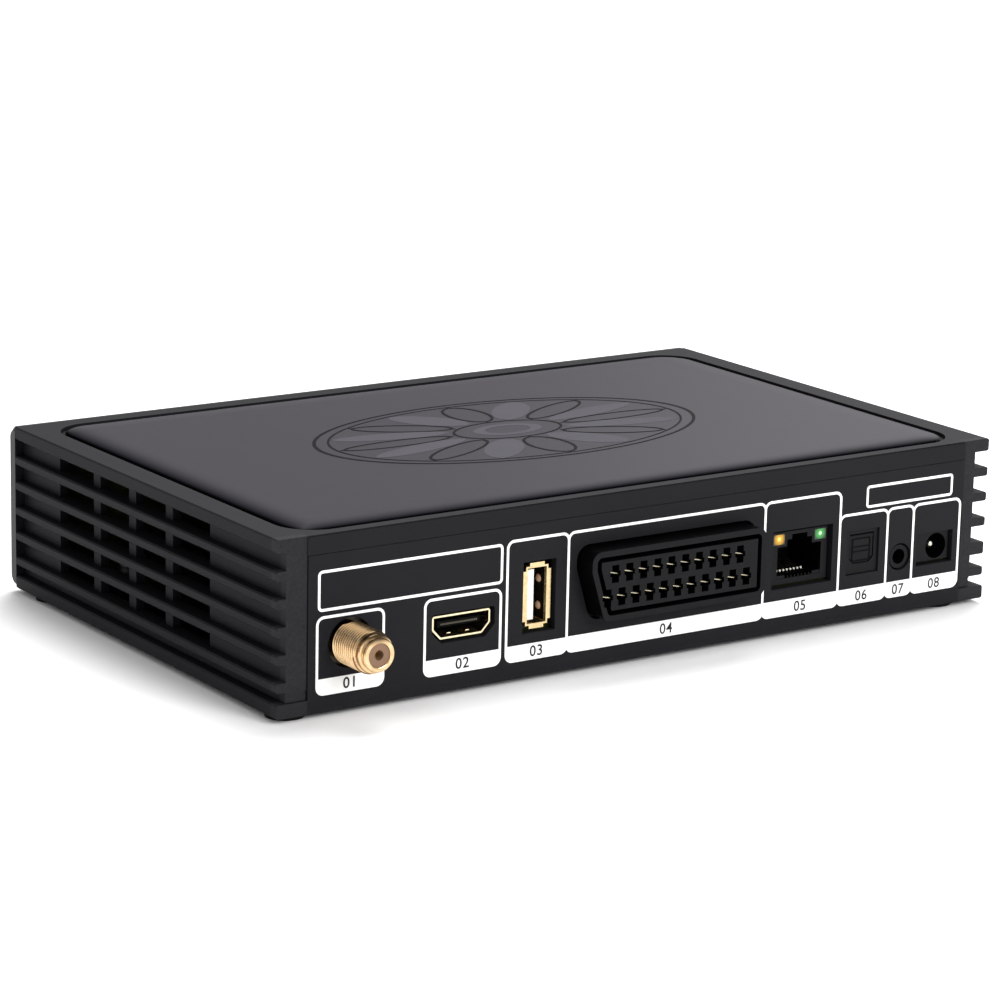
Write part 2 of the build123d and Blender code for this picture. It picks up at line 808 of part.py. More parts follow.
with BuildPart() as hdmi_insulator:
    foot_half = hdmi_w / 2 - hdmi_cant_x - hdmi_corner
    tongue_mid = (hdmi_low + hdmi_high) / 2 + hdmi_lift
    hdmi_prism(-shell_t, hdmi_back - plug_back, hdmi_back)
    button(hdmi_x, tongue_mid, hdmi_sink + tongue_sink, hdmi_back - plug_back, hdmi_tongue_w, hdmi_tongue_t)
    brick(hdmi_x - foot_half, hdmi_x + foot_half, hdmi_back, hdmi_back + plug_heel,
          board_top, hdmi_high - shell_t)
    brick(hdmi_x - foot_half, hdmi_x + foot_half, board_rear, hdmi_back, board_top, hdmi_low)

# upright USB socket
with BuildPart() as usb_shell:
    button(usb_x, usb_mid_z, usb_sink, usb_back, usb_w, usb_h)
    button(usb_x, usb_mid_z, usb_sink, usb_sink + usb_flare_l,
           usb_w + 2 * usb_flare, usb_h - 2 * usb_flare_corner)
    button(usb_x, usb_mid_z, usb_sink, usb_sink + usb_flare_l,
           usb_w - 2 * usb_flare_corner, usb_h + 2 * usb_flare)
    button(usb_x, usb_mid_z, usb_sink - cut, usb_back + cut, usb_w - 2 * shell_t, usb_h - 2 * shell_t,
           Mode.SUBTRACT)

with BuildPart() as usb_insulator:
    tongue_left = usb_x - usb_w / 2 + shell_t + usb_tongue_gap
    tongue_rim = shell_t + usb_tongue_rim
    button(usb_x, usb_mid_z, usb_back - plug_back, usb_back, usb_w - 2 * shell_t, usb_h - 2 * shell_t)
    brick(tongue_left, tongue_left + usb_tongue_t, usb_sink + tongue_sink, usb_back - plug_back,
          usb_low + tongue_rim, usb_high - tongue_rim)
    brick(usb_x - usb_w / 2, usb_x + usb_w / 2, usb_back, usb_back + plug_heel,
          board_top, usb_high - shell_t)
    brick(usb_x - usb_w / 2, usb_x + usb_w / 2, board_rear, usb_back, board_top, usb_low)

# SCART socket: lip, slot and block with a notched pocket for each contact
scart_pocket_end = scart_pocket_deep - scart_reach
with BuildPart() as scart_housing:
    scart_prism(0, -scart_reach, wall + fit_gap, scart_corner)
    brick(scart_x - scart_w / 2 - scart_body_rim, scart_x + scart_w / 2 + scart_body_rim,
          wall + fit_gap, scart_back, board_top, scart_high + scart_body_rim)
    scart_prism(-scart_lip, -scart_reach - cut, scart_slot_deep - scart_reach, scart_corner, Mode.SUBTRACT)
    scart_prism(-scart_lip - scart_slot, -scart_reach, scart_slot_deep - scart_reach)
    for x, z in scart_pockets:
        button(x, z, -scart_reach - cut, scart_pocket_end, scart_pocket_w, scart_pocket_h, Mode.SUBTRACT)
        button(x, z, -scart_reach - cut, scart_pocket_end, scart_notch_w, scart_notch_h, Mode.SUBTRACT)

# contacts of bent strip, so each shows a slanting edge
with BuildPart() as scart_contacts:
    with BuildSketch(rear(scart_pocket_end)) as strips:
        with BuildLine():
            Polyline(
                (-contact_w / 2, contact_tilt / 2), (contact_w / 2, -contact_tilt / 2),
                (contact_w / 2, contact_t - contact_tilt / 2),
                (-contact_w / 2, contact_t + contact_tilt / 2), close=True)
        strip = make_face(mode=Mode.PRIVATE)
        with Locations(*scart_pockets):
            add(strip)
    extrude(strips.sketch, amount=scart_pocket_deep - contact_sink)

# Ethernet socket: stepped mouth, two lamps and eight sprung wires
with BuildPart() as ethernet_jack:
    brick(lan_left, lan_right, lan_sink, lan_sink + lan_depth, board_top, lan_high)
    for w, top in ((lan_mouth_w, lan_mouth_high), (lan_step_w, lan_step_high),
                   (lan_latch_w, lan_step_high + lan_latch_h)):
        brick(lan_x - w / 2, lan_x + w / 2, lan_sink - cut, lan_mouth_end, lan_mouth_low, top, Mode.SUBTRACT)
    lamp_high = lan_high - lan_lamp_rim
    for x in (lan_left + lan_lamp_rim, lan_right - lan_lamp_rim - lan_lamp_w):
        brick(x, x + lan_lamp_w, lan_sink - cut, lan_sink + lan_lamp_deep, lamp_high - lan_lamp_h, lamp_high,
              Mode.SUBTRACT)

with BuildPart() as ethernet_lamp_yellow:
    brick(lan_left + lan_lamp_rim, lan_left + lan_lamp_rim + lan_lamp_w, lan_sink,
          lan_sink + lan_lamp_deep, lamp_high - lan_lamp_h, lamp_high)

with BuildPart() as ethernet_lamp_green:
    brick(lan_right - lan_lamp_rim - lan_lamp_w, lan_right - lan_lamp_rim, lan_sink,
          lan_sink + lan_lamp_deep, lamp_high - lan_lamp_h, lamp_high)

with BuildPart() as ethernet_contacts:
    wire_low = lan_mouth_low + lan_wire_lift
    wire_start = lan_sink + lan_wire_start
    for i in range(lan_wires):
        x = lan_x + (i - (lan_wires - 1) / 2) * lan_pitch
        with BuildSketch(side(x - lan_wire / 2)) as wire:
            with BuildLine():
                Polyline(
                    (wire_start, wire_low), (lan_mouth_end, wire_low + lan_wire_rise),
                    (lan_mouth_end, wire_low + lan_wire_rise + lan_wire),
                    (wire_start, wire_low + lan_wire), close=True)
            make_face()
        extrude(wire.sketch, amount=lan_wire)

# optical socket: housing, sprung door hung on its upper edge, emitter
with BuildPart() as optical_housing:
    brick(optical_x - optical_w / 2, optical_x + optical_w / 2, optical_sink, optical_sink + optical_depth,
          board_top, optical_high)
    door_prism(door_gap, door_high + door_head_gap, optical_sink - cut, optical_sink + optical_deep,
               Mode.SUBTRACT)
    pin_reach = door_w / 2 + hinge_pin_l + door_gap / 2
    axle(optical_x - pin_reach, optical_x + pin_reach, hinge_d, hinge_z, hinge_r + hinge_play, Mode.SUBTRACT)

with BuildPart() as optical_shutter:
    door_prism(0, hinge_z, hinge_d - hinge_r, hinge_d + hinge_r)
    axle(optical_x - door_w / 2 - hinge_pin_l, optical_x + door_w / 2 + hinge_pin_l,
         hinge_d, hinge_z, hinge_r)

with BuildPart() as optical_emitter:
    barrel(optical_x, (door_low + door_high) / 2, optical_sink + optical_deep - emitter_l,
           optical_sink + optical_deep, emitter_r)

# 3.5 mm jack
with BuildPart() as data_jack:
    brick(jack_x - jack_w / 2, jack_x + jack_w / 2, wall + fit_gap, jack_sink + jack_depth,
          board_top, board_top + jack_h)
    barrel(jack_x, jack_z, jack_sink, wall + fit_gap, jack_ring_r)
    barrel(jack_x, jack_z, jack_sink - cut, jack_sink + jack_bore_l, jack_bore_r, Mode.SUBTRACT)

# power jack
with BuildPart() as power_jack:
    brick(power_x - power_w / 2, power_x + power_w / 2, power_sink, power_sink + power_depth,
          board_top, power_high)
    barrel(power_hole_x, power_hole_z, power_sink - cut, power_sink + power_hole_deep, power_hole_r,
           Mode.SUBTRACT)

with BuildPart() as power_jack_pin:
    barrel(power_hole_x, power_hole_z, power_sink + power_pin_sink, power_sink + power_hole_deep,
           power_pin_r)

# parts on the main board
with BuildPart() as processor:
    brick(chip_x - chip_w / 2, chip_x + chip_w / 2, chip_d - chip_w / 2, chip_d + chip_w / 2,
          board_top, board_top + chip_t)

with BuildPart() as heatsink:
    brick(chip_x - sink_w / 2, chip_x + sink_w / 2, chip_d - sink_w / 2, chip_d + sink_w / 2,
          board_top + chip_t, board_top + chip_t + sink_base)
    for i in range(sink_fins):
        x = chip_x - sink_w / 2 + i * (sink_w - sink_fin_t) / (sink_fins - 1)
        brick(x, x + sink_fin_t, chip_d - sink_w / 2, chip_d + sink_w / 2,
              board_top + chip_t + sink_base, sink_top)

with BuildPart() as memory_chips:
    for d in (chip_d - memory_rise, chip_d + memory_rise):
        brick(chip_x + memory_step - memory_w / 2, chip_x + memory_step + memory_w / 2,
              d - memory_l / 2, d + memory_l / 2, board_top, board_top + memory_t)

with BuildPart() as flash_chip:
    brick(chip_x - flash_step - flash_w / 2, chip_x - flash_step + flash_w / 2,
          chip_d - flash_l / 2, chip_d + flash_l / 2, board_top, board_top + memory_t)

with BuildPart() as big_capacitors:
    for x, d in big_can_spots:
        post(x, d, board_top, board_top + big_can_h, big_can_r)

with BuildPart() as small_capacitors:
    for x, d in small_can_spots:
        post(x, d, board_top, board_top + small_can_h, small_can_r)

with BuildPart() as chokes:
    for x, d in choke_spots:
        brick(x - choke_w / 2, x + choke_w / 2, d - choke_w / 2, d + choke_w / 2,
              board_top, board_top + choke_h)

with BuildPart() as crystal:
    brick(chip_x + crystal_step - crystal_w / 2, chip_x + crystal_step + crystal_w / 2,
          chip_d + crystal_rise - crystal_l / 2, chip_d + crystal_rise + crystal_l / 2,
          board_top, board_top + crystal_h)

with BuildPart() as regulators:
    for x, d in regulator_spots:
        brick(x - regulator_w / 2, x + regulator_w / 2, d - regulator_l / 2, d + regulator_l / 2,
              board_top, board_top + regulator_t)
        brick(x - regulator_w / 2, x + regulator_w / 2, d + regulator_l / 2,
              d + regulator_l / 2 + regulator_tab, board_top, board_top + regulator_tab_t)

# headers and the ribbon between them
main_header_face = board_front - header_edge
front_header_face = front_board_back - header_l
with BuildPart() as ribbon_headers:
    brick(lens_x - header_w / 2, lens_x + header_w / 2, main_header_face - header_l, main_header_face,
          board_top, board_top + header_h)
    brick(lens_x - header_w / 2, lens_x + header_w / 2, front_header_face, front_board_back,
          board_top, board_top + header_h)

with BuildPart() as ribbon_cable:
    ribbon_z = board_top + header_h / 2
    ribbon_mid = (main_header_face + front_header_face) / 2
    with BuildSketch(side(lens_x - ribbon_w / 2)) as bow:
        with BuildLine():
            ThreePointArc((main_header_face, ribbon_z), (ribbon_mid, ribbon_z + ribbon_rise),
                          (front_header_face, ribbon_z))
            Line((front_header_face, ribbon_z), (front_header_face, ribbon_z + ribbon_t))
            ThreePointArc((front_header_face, ribbon_z + ribbon_t),
                          (ribbon_mid, ribbon_z + ribbon_rise + ribbon_t),
                          (main_header_face, ribbon_z + ribbon_t))
            Line((main_header_face, ribbon_z + ribbon_t), (main_header_face, ribbon_z))
        make_face()
    extrude(amount=ribbon_w)

pieces = {
    "base_tray": base_tray, "top_cover": top_cover, "front_fascia": front_fascia,
    "display_lens": display_lens, "display_module": display_module,
    "infrared_receiver": infrared_receiver, "standby_lamp": standby_lamp, "standby_key": standby_key,
    "tact_switches": tact_switches, "front_board": front_board, "front_board_screws": front_board_screws,
    "rubber_feet": rubber_feet, "case_screws": case_screws, "board_screws": board_screws,
    "main_board": main_board, "tuner_can": tuner_can,
    "f_barrel": f_barrel, "f_insulator": f_insulator, "f_contact": f_contact,
    "hdmi_shell": hdmi_shell, "hdmi_insulator": hdmi_insulator,
    "usb_shell": usb_shell, "usb_insulator": usb_insulator,
    "scart_housing": scart_housing, "scart_contacts": scart_contacts,
    "ethernet_jack": ethernet_jack, "ethernet_contacts": ethernet_contacts,
    "ethernet_lamp_yellow": ethernet_lamp_yellow, "ethernet_lamp_green": ethernet_lamp_green,
    "optical_housing": optical_housing, "optical_shutter": optical_shutter,
    "optical_emitter": optical_emitter,
    "data_jack": data_jack, "power_jack": power_jack, "power_jack_pin": power_jack_pin,
    "processor": processor, "heatsink": heatsink, "memory_chips": memory_chips, "flash_chip": flash_chip,
    "big_capacitors": big_capacitors, "small_capacitors": small_capacitors, "chokes": chokes,
    "crystal": crystal, "regulators": regulators,
    "ribbon_headers": ribbon_headers, "ribbon_cable": ribbon_cable,
    **channel_keys, **plungers,
}
for name, piece in pieces.items():
    save(piece, name)
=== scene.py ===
import bpy
import math
from mathutils import Matrix, Vector


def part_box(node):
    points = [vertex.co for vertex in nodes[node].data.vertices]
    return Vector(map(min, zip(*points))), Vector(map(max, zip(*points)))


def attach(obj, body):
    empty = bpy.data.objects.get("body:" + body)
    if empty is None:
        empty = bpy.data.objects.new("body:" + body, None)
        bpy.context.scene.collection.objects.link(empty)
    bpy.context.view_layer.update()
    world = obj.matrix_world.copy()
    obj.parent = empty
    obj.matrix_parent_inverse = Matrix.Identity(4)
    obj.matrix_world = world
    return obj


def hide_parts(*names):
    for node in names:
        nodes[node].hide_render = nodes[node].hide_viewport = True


# Small satellite receiver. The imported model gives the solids. This file gives them their finishes,
# the printing, the thread and the small moulded marks. Blender's lengths are metres, the sizes in
# the dictionaries are millimetres.

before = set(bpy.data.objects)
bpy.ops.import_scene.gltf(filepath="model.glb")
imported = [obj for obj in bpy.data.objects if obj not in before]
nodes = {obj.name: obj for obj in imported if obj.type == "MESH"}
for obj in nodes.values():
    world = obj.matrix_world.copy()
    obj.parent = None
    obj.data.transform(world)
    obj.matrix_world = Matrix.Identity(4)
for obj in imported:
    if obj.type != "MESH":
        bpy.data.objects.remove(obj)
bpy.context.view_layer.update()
scene = bpy.context.scene
mm = 0.001

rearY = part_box("base_tray")[1].y  # face of the rear panel
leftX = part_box("base_tray")[1].x  # edge beside the antenna socket
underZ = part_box("base_tray")[0].z  # underside of the case
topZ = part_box("top_cover")[1].z


def spot(across, inward, up):  # millimetres from the antenna edge, the rear panel and the underside
    return Vector((leftX - across * mm, rearY - inward * mm, underZ + up * mm))


def faceOf(node, front=False):  # middle of a node's rear or front face, in the measures of spot
    low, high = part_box(node)
    middle = (low + high) / 2
    return Vector((leftX - middle.x, rearY - (low if front else high).y, middle.z - underZ)) / mm


# nodes of a material

def linear(hexText):  # sRGB hex to linear colour
    raw = [int(hexText[i:i + 2], 16) / 255 for i in (1, 3, 5)]
    return tuple([c / 12.92 if c <= 0.04045 else ((c + 0.055) / 1.055) ** 2.4 for c in raw] + [1.0])


def newMaterial(name):
    material = bpy.data.materials.new(name)
    material.use_nodes = True
    return material, material.node_tree, material.node_tree.nodes["Principled BSDF"]


def addNode(tree, kind, inputs=None, **settings):  # a node with its settings and links
    node = tree.nodes.new(kind)
    for name, value in settings.items():
        setattr(node, name, value)
    for name, value in (inputs or {}).items():
        if isinstance(value, bpy.types.NodeSocket):
            tree.links.new(value, node.inputs[name])
        else:
            node.inputs[name].default_value = value
    return node


def setShader(shader, values):  # what is the same all over a surface
    for name, value in values.items():
        shader.inputs[name].default_value = value


# shaping by hand

def deselectAll():
    if bpy.context.object and bpy.context.object.mode != "OBJECT":
        bpy.ops.object.mode_set(mode="OBJECT")
    bpy.ops.object.select_all(action="DESELECT")


def pickOnly(piece):
    deselectAll()
    piece.select_set(True)
    bpy.context.view_layer.objects.active = piece


def named(name):  # the primitive just added
    piece = bpy.context.object
    piece.name = name
    return piece


def editAll(kind="FACE"):  # edit mode with the whole mesh selected
    bpy.ops.object.mode_set(mode="EDIT")
    bpy.ops.mesh.select_mode(type=kind)
    bpy.ops.mesh.select_all(action="SELECT")


def leaveEdit():
    bpy.ops.object.mode_set(mode="OBJECT")


def pick(piece, kind, test):  # selects faces or vertices by their place and leaves edit mode on
    pickOnly(piece)
    bpy.ops.object.mode_set(mode="EDIT")
    bpy.ops.mesh.select_mode(type=kind)
    bpy.ops.mesh.select_all(action="DESELECT")
    bpy.ops.object.mode_set(mode="OBJECT")
    for element in piece.data.polygons if kind == "FACE" else piece.data.vertices:
        element.select = test(element)
    bpy.ops.object.mode_set(mode="EDIT")


def shiftVerts(piece, test, shift):
    pick(piece, "VERT", test)
    bpy.ops.transform.translate(value=shift)
    leaveEdit()


def faceOutwards():  # in edit mode
    bpy.ops.mesh.select_all(action="SELECT")
    bpy.ops.mesh.normals_make_consistent(inside=False)
    leaveEdit()


def applyPlace():  # place, turn and scale of the selected piece go into its mesh
    bpy.ops.object.transform_apply(location=True, rotation=True, scale=True)


def applyModifier(piece, kind, **settings):
    pickOnly(piece)
    modifier = piece.modifiers.new(kind.lower(), kind)
    for name, value in settings.items():
        setattr(modifier, name, value)
    bpy.ops.object.modifier_apply(modifier=modifier.name)


def thicken(piece, thickness):  # a flat piece grows backwards from its face
    applyModifier(piece, "SOLIDIFY", thickness=thickness * mm, offset=-1.0)


def discard(piece):
    pickOnly(piece)
    bpy.ops.object.delete()


def cutAway(piece, tool):
    applyModifier(piece, "BOOLEAN", operation="DIFFERENCE", solver="EXACT", object=tool)
    discard(tool)


def smooth(piece, degrees=35):
    pickOnly(piece)
    bpy.ops.object.shade_smooth_by_angle(angle=math.radians(degrees))


def copyOf(piece, shift=(0, 0, 0), turn=0.0):  # with its own mesh, turned about the upright axis
    twin = piece.copy()
    twin.data = piece.data.copy()
    scene.collection.objects.link(twin)
    twin.location = twin.location + Vector(shift)
    twin.rotation_euler.z = turn
    return twin


def rowStart(middle, count, pitch):  # place of a row's first piece, the one nearest the antenna
    return middle - (count - 1) / 2 * pitch


def rowOf(piece, count, pitch):
    return [piece] + [copyOf(piece, (-i * pitch * mm, 0, 0)) for i in range(1, count)]


def joinAll(pieces, name):
    deselectAll()
    for piece in pieces:
        piece.select_set(True)
    bpy.context.view_layer.objects.active = pieces[0]
    if len(pieces) > 1:
        bpy.ops.object.join()
    pieces[0].name = name
    return pieces[0]


def settle(piece, finishName, body):  # place into the mesh, then finish, body and slot
    pickOnly(piece)
    applyPlace()
    piece.data.materials.clear()
    piece.data.materials.append(finish[finishName])
    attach(piece, body)


weld = 0.002  # vertices nearer than this become one
sectionAxes = {  # which way a section's radius and its length are drawn
    "X": (Vector((0, 0, 1)), Vector((1, 0, 0))),
    "Y": (Vector((1, 0, 0)), Vector((0, -1, 0))),
    "Z": (Vector((1, 0, 0)), Vector((0, 0, 1)))}


def drawSection(name, centre, axis, section):  # a line drawn point by point: radius, place along
    outward, along = sectionAxes[axis]
    points = [outward * (r * mm) + along * (a * mm) for r, a in section]
    deselectAll()
    bpy.ops.mesh.primitive_plane_add(size=mm, location=centre)
    piece = named(name)
    editAll("VERT")
    bpy.ops.mesh.merge(type="CENTER")
    bpy.ops.transform.translate(value=points[0])
    for start, end in zip(points, points[1:]):
        bpy.ops.mesh.extrude_region_move(TRANSFORM_OT_translate={"value": end - start})
    leaveEdit()
    return piece


def turned(name, centre, axis, section, steps=48, ring=True):  # a section spun right round
    piece = drawSection(name, centre, axis, section + section[:1] if ring else section)
    editAll("VERT")
    bpy.ops.mesh.spin(steps=steps, angle=2 * math.pi, center=centre, axis=sectionAxes[axis][1])
    bpy.ops.mesh.select_all(action="SELECT")
    bpy.ops.mesh.remove_doubles(threshold=weld * mm)
    faceOutwards()
    return piece


def block(name, across, inward, up, size, edge=0.0):  # a bar with its edges broken
    deselectAll()
    centre = spot(across, inward, up)
    bpy.ops.mesh.primitive_cube_add(size=mm, location=centre)
    piece = named(name)
    editAll()
    bpy.ops.transform.resize(value=size, center_override=centre)
    if edge:
        bpy.ops.mesh.bevel(offset=edge * mm, segments=2, affect="EDGES")
    leaveEdit()
    return piece


def flatDisc(name, radius, corners):
    deselectAll()
    bpy.ops.mesh.primitive_circle_add(vertices=corners, radius=radius * mm, fill_type="NGON",
                                      location=(0, 0, 0))
    return named(name)


def hollow(piece, line):  # leaves only a line along the outline
    pick(piece, "FACE", lambda face: True)
    bpy.ops.mesh.inset(thickness=line * mm)
    bpy.ops.mesh.delete(type="FACE")
    leaveEdit()


# camera and studio, places in metres

view = {"place": (0.46948, 0.68207, 0.23054), "forward": (-0.5471, -0.8015, -0.2414),
        "roll": 1.27, "lens": 131.59, "sensor": 36, "near": 0.01}


def makeCamera():
    data = bpy.data.cameras.new("camera")
    data.lens = view["lens"]
    data.sensor_width = view["sensor"]
    data.clip_start = view["near"]
    camera = bpy.data.objects.new("camera", data)
    scene.collection.objects.link(camera)
    forward = Vector(view["forward"]).normalized()
    right = forward.cross(Vector((0, 0, 1))).normalized()
    right.rotate(Matrix.Rotation(math.radians(-view["roll"]), 3, forward))
    up = right.cross(forward)
    turn = Matrix((right, up, -forward)).transposed().to_4x4()
    camera.matrix_world = Matrix.Translation(view["place"]) @ turn
    scene.camera = camera


studio = {"floorSize": 9.0, "floorTone": "#fafafa", "floorRoughness": 0.9, "floorSpecular": 0.1,
          "skyTone": "#ffffff", "skyStrength": 0.6,
          "lights": {
              "overhead": {"place": (-0.7, -0.9, 2.1), "aim": (-0.3, -0.5, 0), "size": 1.6, "power": 62},
              "rearSide": {"place": (-0.35, 1.55, 0.95), "aim": (0, 0, 0.02), "size": 1.0, "power": 24},
              "frontSide": {"place": (-0.9, -0.75, 0.5), "aim": (0, 0, 0.03), "size": 0.6, "power": 0.8}}}


def makeLight(name, place, aim, size, power):  # a soft round lamp turned to what it lights
    data = bpy.data.lights.new(name, "AREA")
    data.shape = "DISK"
    data.size = size
    data.energy = power
    light = bpy.data.objects.new(name, data)
    scene.collection.objects.link(light)
    light.location = place
    light.rotation_euler = (Vector(aim) - Vector(place)).to_track_quat("-Z", "Y").to_euler()


def makeStudio():
    material, tree, shader = newMaterial("floorPaint")  # matt white emulsion, rolled: no gloss at all
    setShader(shader, {"Base Color": linear(studio["floorTone"]), "Roughness": studio["floorRoughness"],
                       "Specular IOR Level": studio["floorSpecular"]})
    deselectAll()
    bpy.ops.mesh.primitive_plane_add(size=studio["floorSize"], location=(0, 0, 0))
    floor = named("floor")
    floor.data.materials.append(material)
    world = bpy.data.worlds.new("studioSky")
    scene.world = world
    world.use_nodes = True
    setShader(world.node_tree.nodes["Background"], {
        "Color": linear(studio["skyTone"]), "Strength": studio["skyStrength"]})
    for name, spec in studio["lights"].items():
        makeLight(name, **spec)
    scene.view_settings.view_transform = "Standard"


makeCamera()
makeStudio()
print("stage: camera and studio")


# finishes: the size of each pattern is that of the real marks

mouldedLook = {"patch": 5.56, "patchDetail": 3.0,  # clouds in the tone, where the melt met in the tool
               "grain": 0.25, "grainDetail": 2.0,  # finer on the real thing, coarser here so that it shows
               "depth": 0.01, "bump": 0.4, "specular": 0.4}
metalLook = {"patch": 2.86, "patchDetail": 4.0,  # stains and wear
             "grain": 0.2, "grainDetail": 2.0,  # rolling marks, drawn coarser as well
             "depth": 0.01, "bump": 0.25}


def grained(tree, shader, look):  # tone in soft patches over the grain, gives back the patches
    place = addNode(tree, "ShaderNodeTexCoord").outputs["Object"]
    patches = addNode(tree, "ShaderNodeTexNoise", {
        "Vector": place, "Scale": 1 / (look["patch"] * mm), "Detail": look["patchDetail"]})
    grain = addNode(tree, "ShaderNodeTexNoise", {
        "Vector": place, "Scale": 1 / (look["grain"] * mm), "Detail": look["grainDetail"]})
    tone = addNode(tree, "ShaderNodeMix", {
        "Factor": patches.outputs["Fac"], "A": linear(look["dark"]), "B": linear(look["light"])},
        data_type="RGBA")
    relief = addNode(tree, "ShaderNodeBump", {
        "Strength": look["bump"], "Distance": look["depth"] * mm, "Height": grain.outputs["Fac"]})
    tree.links.new(tone.outputs["Result"], shader.inputs["Base Color"])
    tree.links.new(relief.outputs["Normal"], shader.inputs["Normal"])
    return patches.outputs["Fac"]


def paintOver(tree, shader, share, toneHex):  # lays a tone over the colour made so far
    under = shader.inputs["Base Color"].links[0].from_socket
    paint = addNode(tree, "ShaderNodeMix", {
        "Factor": share, "A": under, "B": linear(toneHex)}, data_type="RGBA")
    tree.links.new(paint.outputs["Result"], shader.inputs["Base Color"])


def plastic(name, dark, light, roughness, **own):
    material, tree, shader = newMaterial(name)
    look = {**mouldedLook, "dark": dark, "light": light, **own}
    grained(tree, shader, look)
    setShader(shader, {"Roughness": roughness, "Specular IOR Level": look["specular"]})
    return material


def metal(name, dark, light, bright, dull, **own):  # roughness from bright to dull by the patches
    material, tree, shader = newMaterial(name)
    patches = grained(tree, shader, {**metalLook, "dark": dark, "light": light, **own})
    rough = addNode(tree, "ShaderNodeMapRange", {"Value": patches, "To Min": bright, "To Max": dull})
    tree.links.new(rough.outputs["Result"], shader.inputs["Roughness"])
    setShader(shader, {"Metallic": 1.0})
    return material


caseLook = {"dark": "#17171a", "light": "#1c1c1f", "roughness": 0.56, "specular": 0.08,
            "patch": 16.7, "grain": 0.385, "depth": 0.04, "bump": 0.5,
            # the corner strips beside the rear panel have a coarser texture with paler flecks; the paler
            # tone is partly painted light, a sheen that the left strip catches
            "stripWide": 7.4, "stripDeep": 2.5, "fleck": 0.556, "fleckDetail": 3.0, "sheenFleckTone": "#2c2c2f"}


def caseAbs():  # ABS moulded in a spark-eroded tool: fine even grain, low gloss
    material, tree, shader = newMaterial("blackAbs")
    grained(tree, shader, {**mouldedLook, **caseLook})
    place = addNode(tree, "ShaderNodeTexCoord").outputs["Object"]
    fleck = addNode(tree, "ShaderNodeTexNoise", {
        "Vector": place, "Scale": 1 / (caseLook["fleck"] * mm), "Detail": caseLook["fleckDetail"]})
    apart = addNode(tree, "ShaderNodeSeparateXYZ", {"Vector": place})
    side = addNode(tree, "ShaderNodeMath", {0: apart.outputs["X"]}, operation="ABSOLUTE")
    outer = addNode(tree, "ShaderNodeMath", {
        0: side.outputs[0], 1: leftX - caseLook["stripWide"] * mm}, operation="GREATER_THAN")
    rear = addNode(tree, "ShaderNodeMath", {
        0: apart.outputs["Y"], 1: rearY - caseLook["stripDeep"] * mm}, operation="GREATER_THAN")
    strip = addNode(tree, "ShaderNodeMath", {
        0: outer.outputs[0], 1: rear.outputs[0]}, operation="MULTIPLY")
    flecksAndSheen = addNode(tree, "ShaderNodeMath", {
        0: strip.outputs[0], 1: fleck.outputs["Fac"]}, operation="MULTIPLY")
    # paler flecks on the corner strips: a coarse texture that also carries a painted sheen
    paintOver(tree, shader, flecksAndSheen.outputs[0], caseLook["sheenFleckTone"])
    setShader(shader, {"Roughness": caseLook["roughness"], "Specular IOR Level": caseLook["specular"]})
    return material


panelLook = {"dark": "#242028", "light": "#28242c", "roughness": 0.38, "specular": 0.1,
             "grain": 0.5, "depth": 0.003,
             # painted shade: the rolls at the rear and the antenna side get darker and duller towards the
             # groove, as they turn away from the light
             "rearStart": 10.0, "rearEnd": 4.6, "sideStart": 14.0, "sideEnd": 8.0, "rollShadeTone": "#1a191d",
             # the shade down in the groove
             "footHigh": 38.7, "footLow": 38.5, "footTone": "#030304"}


def panelAbs():  # ABS from a polished tool: smoother than the case, satin, a faint violet cast
    material, tree, shader = newMaterial("satinAbs")
    grained(tree, shader, {**mouldedLook, **panelLook})
    place = addNode(tree, "ShaderNodeTexCoord").outputs["Object"]
    apart = addNode(tree, "ShaderNodeSeparateXYZ", {"Vector": place})
    # painted shade on the rolls at the rear and the antenna side, deepening towards the groove
    rear = addNode(tree, "ShaderNodeMapRange", {
        "Value": apart.outputs["Y"], "From Min": rearY - panelLook["rearStart"] * mm,
        "From Max": rearY - panelLook["rearEnd"] * mm}, interpolation_type="SMOOTHSTEP")
    side = addNode(tree, "ShaderNodeMapRange", {
        "Value": apart.outputs["X"], "From Min": leftX - panelLook["sideStart"] * mm,
        "From Max": leftX - panelLook["sideEnd"] * mm}, interpolation_type="SMOOTHSTEP")
    roll = addNode(tree, "ShaderNodeMath", {
        0: rear.outputs["Result"], 1: side.outputs["Result"]}, operation="MAXIMUM")
    foot = addNode(tree, "ShaderNodeMapRange", {
        "Value": apart.outputs["Z"], "From Min": underZ + panelLook["footHigh"] * mm,
        "From Max": underZ + panelLook["footLow"] * mm})
    sheen = addNode(tree, "ShaderNodeMapRange", {
        "Value": roll.outputs[0], "To Min": panelLook["specular"], "To Max": 0.0})
    paintOver(tree, shader, roll.outputs[0], panelLook["rollShadeTone"])
    paintOver(tree, shader, foot.outputs["Result"], panelLook["footTone"])
    tree.links.new(sheen.outputs["Result"], shader.inputs["Specular IOR Level"])
    setShader(shader, {"Roughness": panelLook["roughness"]})
    return material


socketLook = {"dark": "#0d0d0f", "light": "#141416", "roughness": 0.48, "specular": 0.1,
              # how squarely a face looks to the rear: outer faces from the first share up, walls from the
              # second share down; the walls get painted shade, near black and without sheen
              "outerFacing": 0.8, "wallFacing": 0.3, "wallShadeTone": "#040405", "wallSpecular": 0.03}


